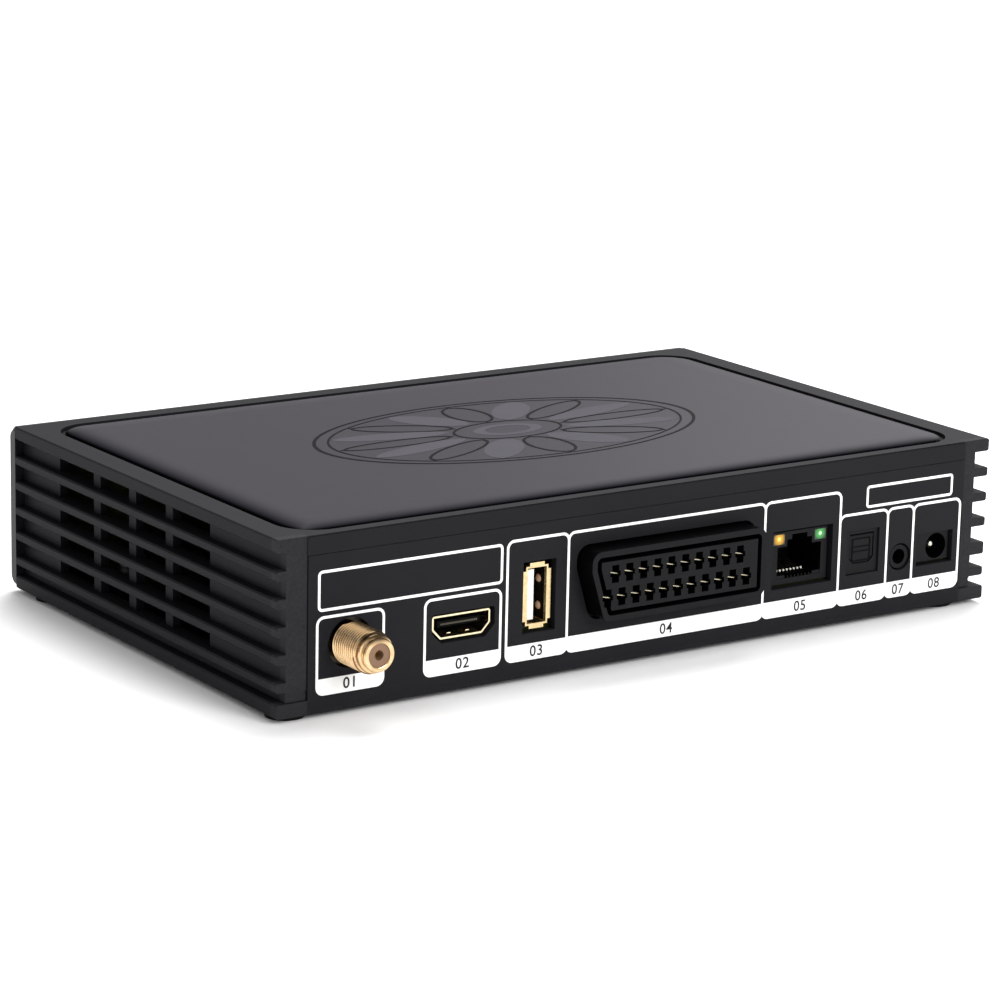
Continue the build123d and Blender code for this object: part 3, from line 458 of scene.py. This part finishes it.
def socketNylon():  # glass-filled nylon: satin on its faces, with painted shade that makes the walls inside near black
    material, tree, shader = newMaterial("socketNylon")
    grained(tree, shader, {**mouldedLook, **socketLook})
    normal = addNode(tree, "ShaderNodeNewGeometry").outputs["True Normal"]
    facing = addNode(tree, "ShaderNodeSeparateXYZ", {"Vector": normal})
    wall = addNode(tree, "ShaderNodeMapRange", {
        "Value": facing.outputs["Y"], "From Min": socketLook["outerFacing"],
        "From Max": socketLook["wallFacing"]})
    sheen = addNode(tree, "ShaderNodeMapRange", {
        "Value": wall.outputs["Result"], "To Min": socketLook["specular"],
        "To Max": socketLook["wallSpecular"]})
    paintOver(tree, shader, wall.outputs["Result"], socketLook["wallShadeTone"])
    tree.links.new(sheen.outputs["Result"], shader.inputs["Specular IOR Level"])
    setShader(shader, {"Roughness": socketLook["roughness"]})
    return material


topShade = {"low": 16.4, "high": 18.3, "tone": "#4e3f2c"}  # heights between which the painted shade deepens


def barrelBrass():  # brass, turned and nickel-plated: pale gold, with painted shade along its upper side where it mirrors a dark surrounding
    material = metal("nickelBrass", "#bd9058", "#f6dcb4", 0.18, 0.3, patch=1.43)
    tree = material.node_tree
    place = addNode(tree, "ShaderNodeTexCoord").outputs["Object"]
    apart = addNode(tree, "ShaderNodeSeparateXYZ", {"Vector": place})
    paintedTopShade = addNode(tree, "ShaderNodeMapRange", {
        "Value": apart.outputs["Z"], "From Min": underZ + topShade["low"] * mm,
        "From Max": underZ + topShade["high"] * mm}, interpolation_type="SMOOTHSTEP")
    paintOver(tree, tree.nodes["Principled BSDF"], paintedTopShade.outputs["Result"], topShade["tone"])
    return material


# the lamps' tones carry painted light: shade towards the rim, a highlight over the die
lamp = {"dieUp": 0.15,  # above the middle of the lamp's face
        "rim": 1.75, "body": 0.85, "halo": 0.62, "die": 0.22,  # how far each tone reaches from the die
        "facet": 0.77, "facetDetail": 1.0, "wobble": 0.5, "roughness": 0.15}


def lampGlass(name, node, rimShadeHex, bodyHex, dieHighlightHex):  # tinted epoxy, cast: painted shade at its rim and a painted highlight where the die shows
    material, tree, shader = newMaterial(name)
    place = addNode(tree, "ShaderNodeTexCoord").outputs["Object"]
    face = faceOf(node)
    facet = addNode(tree, "ShaderNodeTexNoise", {
        "Vector": place, "Scale": 1 / (lamp["facet"] * mm), "Detail": lamp["facetDetail"]})
    reach = addNode(tree, "ShaderNodeVectorMath", {
        0: place, 1: spot(face.x, face.y, face.z + lamp["dieUp"])}, operation="DISTANCE")
    ragged = addNode(tree, "ShaderNodeMath", {
        0: facet.outputs["Fac"], 1: lamp["wobble"] * mm, 2: reach.outputs["Value"]},
        operation="MULTIPLY_ADD")
    inBody = addNode(tree, "ShaderNodeMapRange", {
        "Value": ragged.outputs[0], "From Min": (lamp["rim"] + lamp["wobble"] / 2) * mm,
        "From Max": (lamp["body"] + lamp["wobble"] / 2) * mm})
    inDieHighlight = addNode(tree, "ShaderNodeMapRange", {
        "Value": reach.outputs["Value"], "From Min": lamp["halo"] * mm, "From Max": lamp["die"] * mm})
    rimToBodyTone = addNode(tree, "ShaderNodeMix", {
        "Factor": inBody.outputs["Result"], "A": linear(rimShadeHex), "B": linear(bodyHex)}, data_type="RGBA")
    tree.links.new(rimToBodyTone.outputs["Result"], shader.inputs["Base Color"])
    paintOver(tree, shader, inDieHighlight.outputs["Result"], dieHighlightHex)
    setShader(shader, {"Roughness": lamp["roughness"]})
    return material


finish = {
    "case": caseAbs(),
    "panel": panelAbs(),
    "socket": socketNylon(),
    "barrel": barrelBrass(),
    "yellowLamp": lampGlass("yellowLamp", "ethernet_lamp_yellow", "#3c2800", "#c8940c", "#fff07a"),
    "greenLamp": lampGlass("greenLamp", "ethernet_lamp_green", "#0b2410", "#2c8c38", "#c8f6c4"),
    # clear red epoxy, cast: deep red with a sharp gloss
    "redLamp": plastic("redEpoxy", "#5a0a06", "#8c1a10", 0.15, grain=0.8, depth=0.002, specular=0.5),
    # painted shade: nylon deep in a socket, drawn near black because almost no light reaches it
    "deep": plastic("shadedNylon", "#050506", "#080809", 0.6, specular=0.05),
    # ABS from a finer tool: smooth front with a soft sheen
    "fascia": plastic("fasciaAbs", "#17171a", "#1c1c1f", 0.34, grain=0.4, depth=0.006, specular=0.2),
    # acrylic, moulded and smoked: black with clear reflections
    "window": plastic("smokedAcrylic", "#060607", "#09090b", 0.08, grain=0.8, depth=0.002, specular=0.5),
    # dyed ABS, moulded: a shade lighter than the front round the keys
    "key": plastic("keyAbs", "#2a2a2d", "#303034", 0.4),
    # rubber, moulded: dull and slightly rough
    "rubber": plastic("footRubber", "#101010", "#181818", 0.85, grain=0.3, depth=0.03, specular=0.15),
    # acetal, turned: waxy brown beige
    "beige": plastic("beigeAcetal", "#745a48", "#826650", 0.5, specular=0.2),
    # nylon, moulded: warm white with a little gloss
    "white": plastic("whiteNylon", "#dcdad2", "#e8e6df", 0.42),
    # green resist over copper and glass fibre, glossy as lacquer: its dark olive is partly painted shade,
    # for the board seen through gaps in the case
    "board": plastic("solderResist", "#252c10", "#343d18", 0.32, grain=0.6, depth=0.02, specular=0.4),
    # epoxy, moulded round a chip: dark grey and dull
    "chip": plastic("epoxyPackage", "#161617", "#1f1f20", 0.6, grain=0.15, depth=0.02),
    # glass of the display: dark and smooth behind its window
    "display": plastic("displayGlass", "#15171a", "#1b1e22", 0.12, grain=0.8, depth=0.002, specular=0.5),
    # ferrite, pressed and fired: chalky grey
    "ferrite": plastic("chokeFerrite", "#2b2b2e", "#38383c", 0.5),
    # PVC, drawn over the wires: pale grey with a soft sheen
    "ribbon": plastic("ribbonPvc", "#8f9094", "#a3a4a8", 0.4),
    # white ink, screen-printed: flat and opaque
    "ink": plastic("whiteScreenInk", "#f4f4f2", "#fbfbf9", 0.5, grain=0.3, depth=0.004, specular=0.3),
    # the case's ABS left bare between the ink: dark figures
    "numeral": plastic("bareAbs", "#1b1b1e", "#232326", 0.55, specular=0.2),
    # ABS off deeply etched lines of the tool: black, no gloss
    "etched": plastic("etchedAbs", "#08070a", "#0e0d11", 0.5, specular=0.03),
    # ABS off lightly etched fields: a little lighter than the panel
    "pad": plastic("mattAbs", "#34323a", "#3a3840", 0.6, specular=0.2),
    # painted highlight: tinned ends of the wires, drawn pale because they only show as glints
    "wireTip": plastic("wireTipGlint", "#e8e4d8", "#f8f4ea", 0.3, specular=0.5),
    # painted reflection: spring steel, pressed to small bumps, coloured the beige that they mirror
    "bead": plastic("bumpMirroredBeige", "#b08c70", "#c49c7e", 0.4),
    # tinned steel, rolled: pale grey with soft reflections
    "tin": metal("tinnedSteel", "#b9b4a8", "#d9d5ca", 0.18, 0.34),
    # nickel-plated steel, pressed: pale gold, bright at its edges
    "brightShell": metal("nickelPlate", "#d6c296", "#f4e8c8", 0.16, 0.28),
    # steel with a thin gold flash, pressed: warm and mottled
    "usbShell": metal("goldPlate", "#b89b68", "#f0dcb0", 0.2, 0.36, patch=1.11),
    # bronze strip, tinned and bent: dull gold with pale streaks
    "blade": metal("tinnedBronze", "#8f8668", "#ece4c8", 0.25, 0.42, patch=1.11),
    # painted shade: tinned steel inside the case, bright in itself, drawn dark and dull because it lies in
    # shade behind its opening
    "plate": metal("shadedTinplate", "#2e2a24", "#5c564b", 0.3, 0.5),
    # gold flash over bronze: yellow and bright
    "gold": metal("goldFlash", "#b98f45", "#e3c27c", 0.2, 0.32),
    # painted shade: contacts deep in their sockets, drawn as dull brown grey metal
    "dullContact": metal("shadedContactMetal", "#4f4a40", "#8d8574", 0.3, 0.5),
    # painted shade: a nearly black sheet laid over the steel inside the shell, which lies in its own shade
    "shadeSheet": metal("shadedSteel", "#1a1510", "#2c241a", 0.5, 0.7),
    # zinc-plated steel: cool mid grey
    "screw": metal("zincPlate", "#7d7f83", "#a9abb0", 0.28, 0.42),
    # anodised aluminium, extruded: black with a metal's sheen
    "anodised": metal("blackAnodised", "#141416", "#222226", 0.35, 0.5),
    # aluminium, drawn to a can: pale, clean grey
    "can": metal("drawnAluminium", "#a9abae", "#c9cbce", 0.25, 0.4),
}

dressing = {
    "case": ["base_tray", "top_cover"],
    "fascia": ["front_fascia"],
    "window": ["display_lens", "infrared_receiver"],
    "display": ["display_module"],
    "key": ["standby_key", "channel_up_key", "channel_down_key"],
    "socket": ["scart_housing", "ethernet_jack", "optical_housing", "optical_shutter", "data_jack",
               "power_jack", "standby_plunger", "channel_up_plunger", "channel_down_plunger"],
    "deep": ["hdmi_insulator"],
    "rubber": ["rubber_feet"],
    "beige": ["f_insulator"],
    "white": ["usb_insulator", "ribbon_headers"],
    "board": ["main_board", "front_board"],
    "chip": ["processor", "memory_chips", "flash_chip", "regulators"],
    "ferrite": ["chokes"],
    "ribbon": ["ribbon_cable"],
    "tin": ["crystal", "tact_switches", "power_jack_pin"],
    "plate": ["tuner_can"],
    "brightShell": ["hdmi_shell"],
    "usbShell": ["usb_shell"],
    "blade": ["scart_contacts"],
    "barrel": ["f_barrel"],
    "gold": ["f_contact", "ethernet_contacts"],
    "screw": ["case_screws", "board_screws", "front_board_screws"],
    "anodised": ["heatsink"],
    "can": ["big_capacitors", "small_capacitors"],
    "yellowLamp": ["ethernet_lamp_yellow"],
    "greenLamp": ["ethernet_lamp_green"],
    "redLamp": ["standby_lamp", "optical_emitter"],
}
for finishName, members in dressing.items():
    for member in members:
        nodes[member].data.materials.clear()
        nodes[member].data.materials.append(finish[finishName])
print("stage: finishes")


# raised panel of the top: a skin over the moulding with its border rolled over, as the tool leaves it

raisedPanel = {"left": 7.36, "right": 186.64, "rear": 4.16, "front": 114.34, "foot": 37.85, "wall": 0.45,
               "corner": 8.0, "cornerSteps": 12, "smoothBelow": 45,
               "proud": 0.05,  # above the flat of the moulding
               # how far in and how far up, step by step
               "roll": [(0.25, 0.16), (0.45, 0.14), (0.8, 0.16), (1.1, 0.14), (1.4, 0.12), (1.5, 0.08),
                        (1.5, 0.05), (0.5, 0.0)]}


def makeRaisedPanel():
    wide = raisedPanel["right"] - raisedPanel["left"]
    long = raisedPanel["front"] - raisedPanel["rear"]
    centre = spot(raisedPanel["left"] + wide / 2, raisedPanel["rear"] + long / 2, raisedPanel["foot"])
    deselectAll()
    bpy.ops.mesh.primitive_plane_add(size=mm, location=centre)
    piece = named("raisedPanel")
    editAll()
    bpy.ops.transform.resize(value=(wide, long, 1), center_override=centre)
    bpy.ops.mesh.bevel(offset=raisedPanel["corner"] * mm, segments=raisedPanel["cornerSteps"],
                       affect="VERTICES")
    bpy.ops.mesh.select_all(action="SELECT")
    bpy.ops.mesh.extrude_region_move(TRANSFORM_OT_translate={"value": (0, 0, raisedPanel["wall"] * mm)})
    for inward, up in raisedPanel["roll"]:
        bpy.ops.mesh.inset(thickness=inward * mm, depth=up * mm)
    faceOutwards()
    smooth(piece, raisedPanel["smoothBelow"])
    settle(piece, "panel", "cabinet")


makeRaisedPanel()
print("stage: raised panel")


# antenna barrel: helical thread, ridged tip and plain root, drilled through

barrel = {"bore": 3.3, "drillLong": 40, "drillSteps": 48,
          # the thread reaches from its end near the panel to its start behind the tip
          "pitch": 0.794, "crest": 4.76, "groove": 4.24, "threadStart": 8.6, "threadEnd": 0.5,
          "turns": 13, "spareTurns": 1.5, "turnSteps": 40,  # cut back to length once it is wound
          # one turn: which radius, at what share of the pitch
          "turn": [("groove", 0), ("groove", 0.1), ("crest", 0.44), ("crest", 0.56), ("groove", 0.9),
                   ("groove", 1.0)],
          # radius and place inward of the panel
          "tip": [(3.3, -8.3), (4.45, -8.3), (4.6, -8.7), (4.45, -9.0), (4.0, -9.1), (4.0, -9.35),
                  (4.28, -9.45), (4.34, -9.85), (4.2, -10.15), (3.6, -10.3), (3.5, -10.55), (3.7, -10.7),
                  (3.74, -11.3), (3.55, -11.56), (3.4, -11.6), (2.8, -11.6), (2.64, -11.5), (2.6, -11.34),
                  (3.3, -11.32)],
          "root": [(3.3, -0.7), (4.4, -0.7), (4.4, 2.9), (3.3, 2.9)]}


def makeBarrel():
    face = faceOf("f_insulator")
    centre = spot(face.x, 0, face.z)
    pitch = barrel["pitch"]
    start = barrel["spareTurns"] * pitch - barrel["threadEnd"]
    section = [(barrel[radius], start - share * pitch) for radius, share in barrel["turn"]]
    thread = drawSection("thread", centre, "Y", section)
    applyModifier(thread, "SCREW", axis="Y", angle=2 * math.pi, screw_offset=pitch * mm,
                  steps=barrel["turnSteps"], render_steps=barrel["turnSteps"],
                  iterations=barrel["turns"], use_smooth_shade=False)
    editAll("VERT")
    bpy.ops.mesh.remove_doubles(threshold=weld * mm)
    for at, way in ((barrel["threadStart"], 1), (barrel["threadEnd"], -1)):
        bpy.ops.mesh.select_all(action="SELECT")
        bpy.ops.mesh.bisect(plane_co=centre + Vector((0, at * mm, 0)), plane_no=(0, way, 0),
                            use_fill=True, clear_outer=True)
    faceOutwards()
    deselectAll()
    bpy.ops.mesh.primitive_cylinder_add(vertices=barrel["drillSteps"], radius=barrel["bore"] * mm,
                                        depth=barrel["drillLong"] * mm, location=centre,
                                        rotation=(math.pi / 2, 0, 0))
    cutAway(thread, named("drill"))
    tip = turned("tip", centre, "Y", barrel["tip"])
    root = turned("root", centre, "Y", barrel["root"])
    piece = joinAll([thread, tip, root], "antennaBarrel")
    smooth(piece)
    settle(piece, "barrel", "cabinet")
    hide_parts("f_barrel")


makeBarrel()
print("stage: antenna barrel")


# white printing round the sockets: line boxes, most of them with a filled strip for a number

printing = {"line": 0.6, "ink": 0.02,
            # antenna-side edge, far edge, foot, head, top of the strip, corner, proud of the panel, number
            "boxes": {"boxWide": (9.8, 56.3, 22.0, 30.9, None, 1.1, 0.03, None),
                      "boxAntenna": (9.4, 26.4, 3.7, 21.0, 7.35, 1.9, 0.03, "01"),
                      "boxVideo": (36.2, 56.2, 3.7, 21.1, 7.4, 1.9, 0.03, "02"),
                      "boxUsb": (57.2, 73.8, 3.8, 31.35, 7.5, 1.9, 0.03, "03"),
                      "boxScart": (73.2, 128.0, 3.8, 31.35, 7.6, 1.9, 0.055, "04"),
                      "boxLan": (127.4, 149.9, 3.8, 31.35, 7.65, 1.9, 0.03, "05"),
                      "boxOptical": (149.3, 164.1, 3.8, 25.6, 7.65, 1.9, 0.055, "06"),
                      "boxData": (163.5, 171.9, 3.8, 25.6, 7.65, 1.9, 0.03, "07"),
                      "boxPower": (171.3, 186.0, 3.8, 25.6, 7.65, 1.9, 0.055, "08"),
                      "boxSmall": (157.1, 183.1, 26.3, 31.6, None, 0.9, 0.03, None)},
            "numberSize": 3.4, "numberUp": 5.6, "numberProud": 0.08, "numberDepth": 0.01,
            "numberWeight": 0.04, "numberSpacing": 1.1}
boxCornerSteps = 6
boxSlack = 0.05  # a face whose middle is this far inside the lines belongs to the open field


def lineBox(name, left, right, low, high, inward, line, corner, strip=None):  # flat, facing the rear
    centre = spot((left + right) / 2, inward, (low + high) / 2)
    deselectAll()
    bpy.ops.mesh.primitive_plane_add(size=mm, location=centre, rotation=(-math.pi / 2, 0, 0))
    piece = named(name)
    applyPlace()
    editAll()
    bpy.ops.transform.resize(value=(right - left, 1, high - low), center_override=centre)
    bpy.ops.mesh.bevel(offset=corner * mm, segments=boxCornerSteps, affect="VERTICES")
    bpy.ops.mesh.select_all(action="SELECT")
    bpy.ops.mesh.inset(thickness=line * mm)
    if strip:
        bpy.ops.mesh.bisect(plane_co=spot(left, inward, strip), plane_no=(0, 0, 1))
    halfWide = ((right - left) / 2 - line - boxSlack) * mm
    foot = underZ + max(strip or 0, low + line) * mm
    head = underZ + (high - line - boxSlack) * mm
    pick(piece, "FACE", lambda face: abs(face.center.x - centre.x) < halfWide
         and foot < face.center.z < head)
    bpy.ops.mesh.delete(type="FACE")
    leaveEdit()
    return piece


def numeral(name, text, across):
    deselectAll()
    bpy.ops.object.text_add(location=spot(across, -printing["numberProud"], printing["numberUp"]),
                            rotation=(math.pi / 2, 0, math.pi))
    piece = named(name)
    piece.data.body = text
    piece.data.size = printing["numberSize"] * mm
    piece.data.align_x = "CENTER"
    piece.data.align_y = "CENTER"
    piece.data.space_character = printing["numberSpacing"]
    piece.data.offset = printing["numberWeight"] * mm
    piece.data.extrude = printing["numberDepth"] * mm
    bpy.ops.object.convert(target="MESH")
    return bpy.context.object


def makePrinting():
    for name, (left, right, low, high, strip, corner, proud, number) in printing["boxes"].items():
        piece = lineBox(name, left, right, low, high, -proud, printing["line"], corner, strip)
        thicken(piece, printing["ink"])
        settle(piece, "ink", "cabinet")
        if number:
            digits = numeral("number" + number, number, (left + right) / 2)
            settle(digits, "numeral", "cabinet")


makePrinting()
print("stage: printing")


# low relief on the raised panel: an oval rosette of pads and lines, drawn round and then squeezed

rosette = {"across": 98.5, "inward": 61.0, "long": 50.5, "wide": 28.5, "thick": 0.06,
           "lineProud": 0.06, "padProud": 0.03,  # above the panel
           "rims": ((50.5, 0.9), (46.8, 0.6), (14.5, 0.7)), "rimCorners": 120,  # radius, line
           "hub": 9.0, "hubLine": 3.0, "hubCorners": 64,
           "petals": 8, "petalMiddle": 30.5, "petalHalf": 14.6, "petalWide": 5.2, "petalPoint": 0.9,
           "petalLine": 0.8, "petalCorners": 40}


def makePetal(name):
    piece = flatDisc(name, rosette["petalHalf"], rosette["petalCorners"])
    nearEnd = 0.999 * rosette["petalHalf"] * mm
    editAll()
    bpy.ops.transform.resize(value=(1, rosette["petalWide"] / rosette["petalHalf"], 1),
                             center_override=(0, 0, 0))
    for way in (-1, 1):  # pull both ends out to a point
        shiftVerts(piece, lambda vert: vert.co.x * way > nearEnd, (way * rosette["petalPoint"] * mm, 0, 0))
    shiftVerts(piece, lambda vert: True, (rosette["petalMiddle"] * mm, 0, 0))
    return piece


def ringOf(piece, count, first=0.0):  # copies set round the middle, in place of their pattern
    step = 2 * math.pi / count
    twins = [copyOf(piece, turn=first + i * step) for i in range(count)]
    discard(piece)
    return twins


def layOval(piece, finishName, proud):  # squeezed into the oval and laid on the panel
    pickOnly(piece)
    applyPlace()
    piece.scale = (1, rosette["wide"] / rosette["long"], 1)
    piece.location = spot(rosette["across"], rosette["inward"], 0)
    piece.location.z = topZ + (raisedPanel["proud"] + proud) * mm
    applyPlace()
    thicken(piece, rosette["thick"])
    settle(piece, finishName, "cabinet")


def makeRosette():
    lines = []
    for radius, line in rosette["rims"]:
        rim = flatDisc("rim", radius, rosette["rimCorners"])
        hollow(rim, line)
        lines.append(rim)
    petalLine = makePetal("petalLine")
    hollow(petalLine, rosette["petalLine"])
    lines += ringOf(petalLine, rosette["petals"])
    layOval(joinAll(lines, "rosetteLines"), "etched", rosette["lineProud"])
    # the filled petals stand between the drawn ones
    pads = ringOf(makePetal("petalPad"), rosette["petals"], math.pi / rosette["petals"])
    hub = flatDisc("hub", rosette["hub"], rosette["hubCorners"])
    hollow(hub, rosette["hubLine"])
    layOval(joinAll(pads + [hub], "rosettePads"), "pad", rosette["padProud"])


makeRosette()
print("stage: rosette")


# contacts and springs in the sockets: sizes are across, inward and up, an edge is how far it is broken

videoSocket = {"count": 19, "pitch": 0.5,
               "tick": (0.22, 0.08, 0.4), "tickEdge": 0.02, "tickInward": 1.88, "tickUp": 14.4,
               "spring": (1.0, 3.2, 0.28), "springEdge": 0.08, "springInward": 3.4, "springUp": 12.0,
               "springSides": (-2.6, 2.2), "springLift": 0.3}


def makeVideoContacts():  # ends of the contacts along the tongue, and two springs on the shell's floor
    middle = faceOf("hdmi_shell").x
    count, pitch = videoSocket["count"], videoSocket["pitch"]
    tick = block("tick", rowStart(middle, count, pitch), videoSocket["tickInward"],
                 videoSocket["tickUp"], videoSocket["tick"], videoSocket["tickEdge"])
    settle(joinAll(rowOf(tick, count, pitch), "videoContacts"), "dullContact", "cabinet")
    springs = []
    for side in videoSocket["springSides"]:
        leaf = block("leaf", middle + side, videoSocket["springInward"], videoSocket["springUp"],
                     videoSocket["spring"], videoSocket["springEdge"])
        shiftVerts(leaf, lambda vert: vert.co.y > 0, (0, 0, videoSocket["springLift"] * mm))
        springs.append(leaf)
    settle(joinAll(springs, "videoSprings"), "brightShell", "cabinet")


usbSocket = {"wallSide": 2.5, "shadeSheet": (0.1, 12.0, 12.2), "linerEdge": 0.03, "linerInward": 7.9,
             "back": (2.5, 0.1, 12.2), "backSide": 1.2, "backInward": 14.9,
             "bumpInward": 4.0, "bumpUps": (14.6, 20.7), "bumpSteps": 24,
             # radius and height off the wall
             "bump": [(0, 0.6), (0.4, 0.54), (0.75, 0.34), (0.95, 0.05), (1.0, -0.1)]}


def makeUsbInside():  # a nearly black sheet over the inner wall and the back, painted shade, and the wall's two sprung bumps
    shell = faceOf("usb_shell")
    wall = shell.x + usbSocket["wallSide"]
    shadeSheet = block("shadeSheet", wall, usbSocket["linerInward"], shell.z, usbSocket["shadeSheet"],
                  usbSocket["linerEdge"])
    back = block("back", shell.x + usbSocket["backSide"], usbSocket["backInward"], shell.z,
                 usbSocket["back"], usbSocket["linerEdge"])
    settle(joinAll([shadeSheet, back], "usbShadeSheet"), "shadeSheet", "cabinet")
    bumps = [turned("bump", spot(wall, usbSocket["bumpInward"], up), "X", usbSocket["bump"],
                    usbSocket["bumpSteps"], ring=False) for up in usbSocket["bumpUps"]]
    piece = joinAll(bumps, "usbBumps")
    smooth(piece)
    settle(piece, "bead", "cabinet")


scartBlades = {"pitch": 3.81, "rows": ((10, 21.6), (11, 16.3)),  # how many, how high
               "size": (2.5, 7.3, 0.16), "inward": -1.2, "tilt": 0.65, "slant": 0.45}


def makeScartBlades():  # thin sprung blades lying askew in their pockets
    middle = faceOf("scart_contacts").x
    blades = []
    for count, up in scartBlades["rows"]:
        blade = block("blade", rowStart(middle, count, scartBlades["pitch"]), scartBlades["inward"], up,
                      scartBlades["size"])
        shiftVerts(blade, lambda vert: vert.co.x > 0, (0, 0, scartBlades["tilt"] * mm))
        shiftVerts(blade, lambda vert: vert.co.x < 0 < vert.co.y, (0, -scartBlades["slant"] * mm, 0))
        blades += rowOf(blade, count, scartBlades["pitch"])
    piece = joinAll(blades, "scartBlades")
    settle(piece, "blade", "cabinet")
    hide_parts("scart_contacts")


dataSocket = {"wires": 8, "pitch": 1.02, "rise": 1.3,
              "wire": (0.36, 8.4, 0.3), "wireEdge": 0.08, "wireInward": 9.2, "wireUp": 13.1,
              "end": (0.46, 0.5, 0.46), "endEdge": 0.12, "endInward": 4.9,
              "combInward": 0.05,  # from the socket's face
              "tooth": (0.3, 3.4, 0.6), "toothEdge": 0.05, "toothUp": 12.58,
              "sill": (2.3, 11.6, 0.8), "sillEdge": 0.1, "sillUp": 12.7, "sillSides": (-5.15, 5.15)}


def makeDataWires():  # sprung wires with bright ends, and the comb that they lie in
    jack = faceOf("ethernet_jack")
    comb = jack.y + dataSocket["combInward"]
    count, pitch = dataSocket["wires"], dataSocket["pitch"]
    first = rowStart(jack.x, count, pitch)
    wire = block("wire", first, dataSocket["wireInward"], dataSocket["wireUp"], dataSocket["wire"],
                 dataSocket["wireEdge"])
    shiftVerts(wire, lambda vert: vert.co.y < 0, (0, 0, dataSocket["rise"] * mm))
    piece = joinAll(rowOf(wire, count, pitch), "dataWires")
    settle(piece, "dullContact", "cabinet")
    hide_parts("ethernet_contacts")
    end = block("end", first, dataSocket["endInward"], dataSocket["wireUp"], dataSocket["end"],
                dataSocket["endEdge"])
    settle(joinAll(rowOf(end, count, pitch), "dataWireEnds"), "wireTip", "cabinet")
    tooth = block("tooth", first - pitch / 2, comb + dataSocket["tooth"][1] / 2, dataSocket["toothUp"],
                  dataSocket["tooth"], dataSocket["toothEdge"])
    sills = [block("sill", jack.x + side, comb + dataSocket["sill"][1] / 2, dataSocket["sillUp"],
                   dataSocket["sill"], dataSocket["sillEdge"]) for side in dataSocket["sillSides"]]
    settle(joinAll(rowOf(tooth, count + 1, pitch) + sills, "dataComb"), "socket", "cabinet")


powerPin = {"steps": 32,  # section: radius and place inward of the panel
            "section": [(0, 2.3), (0.4, 2.36), (0.72, 2.6), (0.93, 2.98), (1.0, 3.4), (1.0, 10.4),
                        (0, 10.4)]}


def makePowerPin():  # round-nosed pin
    face = faceOf("power_jack_pin")
    piece = turned("powerPin", spot(face.x, 0, face.z), "Y", powerPin["section"], powerPin["steps"],
                   ring=False)
    smooth(piece)
    settle(piece, "tin", "cabinet")
    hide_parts("power_jack_pin")


makeVideoContacts()
makeUsbInside()
makeScartBlades()
makeDataWires()
makePowerPin()
print("stage: contacts")


# door of the optical socket: rim and cross bars in low relief, moving with the door

door = {"low": 13.7, "high": 19.3, "half": 2.75, "line": 0.35, "corner": 0.5, "proud": 0.12,
        "bars": (16.1, 17.2), "barHigh": 0.3, "barEdge": 0.03}


def makeDoorRelief():
    face = faceOf("optical_shutter")
    rim = lineBox("rim", face.x - door["half"], face.x + door["half"], door["low"], door["high"],
                  face.y - door["proud"], door["line"], door["corner"])
    thicken(rim, door["proud"])
    barSize = (2 * (door["half"] - door["line"]), door["proud"], door["barHigh"])
    bars = [block("bar", face.x, face.y - door["proud"] / 2, up, barSize, door["barEdge"])
            for up in door["bars"]]
    # the relief takes the near-black shaded nylon: painted shade for its dark outlines
    settle(joinAll([rim] + bars, "doorRelief"), "deep", "optical_shutter")


makeDoorRelief()
print("stage: optical door")


# screws under the case, with cross recesses

caseScrew = {"spots": ((44.05, 24.0), (156.65, 24.0)),  # across, inward
             "recess": (0.75, 3.0, 1.4), "steps": 40, "smoothBelow": 30,
             # radius and height
             "section": [(0, 2.0), (2.2, 2.0), (2.55, 2.15), (2.7, 2.5), (2.7, 4.0), (1.3, 4.0), (1.3, 26.6),
                         (0.9, 27.0), (0, 27.0)]}


def makeCaseScrews():
    made = []
    wide, long, deep = caseScrew["recess"]
    for across, inward in caseScrew["spots"]:
        screw = turned("screw", spot(across, inward, 0), "Z", caseScrew["section"], caseScrew["steps"],
                       ring=False)
        for size in ((wide, long, deep), (long, wide, deep)):
            cutAway(screw, block("cutter", across, inward, caseScrew["section"][0][1], size))
        made.append(screw)
    piece = joinAll(made, "caseScrewsCross")
    smooth(piece, caseScrew["smoothBelow"])
    settle(piece, "screw", "cabinet")
    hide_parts("case_screws")


makeCaseScrews()
print("stage: screws")


# marks on the front keys, printed, each moving with its key

keyMarks = {"radius": 1.7, "line": 0.45, "proud": 0.03, "ink": 0.02,
            "marks": {"standbyMark": ("standby", 32, 0),  # key, corners, turn
                      "channelUpMark": ("channel_up", 3, 0),
                      "channelDownMark": ("channel_down", 3, 180)}}


def makeKeyMarks():
    for name, (key, corners, turn) in keyMarks["marks"].items():
        face = faceOf(key + "_key", front=True)
        piece = flatDisc(name, keyMarks["radius"], corners)
        hollow(piece, keyMarks["line"])
        piece.rotation_euler = (math.pi / 2, math.radians(turn), 0)
        piece.location = spot(face.x, face.y + keyMarks["proud"], face.z)
        pickOnly(piece)
        applyPlace()
        thicken(piece, keyMarks["ink"])
        settle(piece, "ink", key + "_button")


makeKeyMarks()
print("stage: key marks")
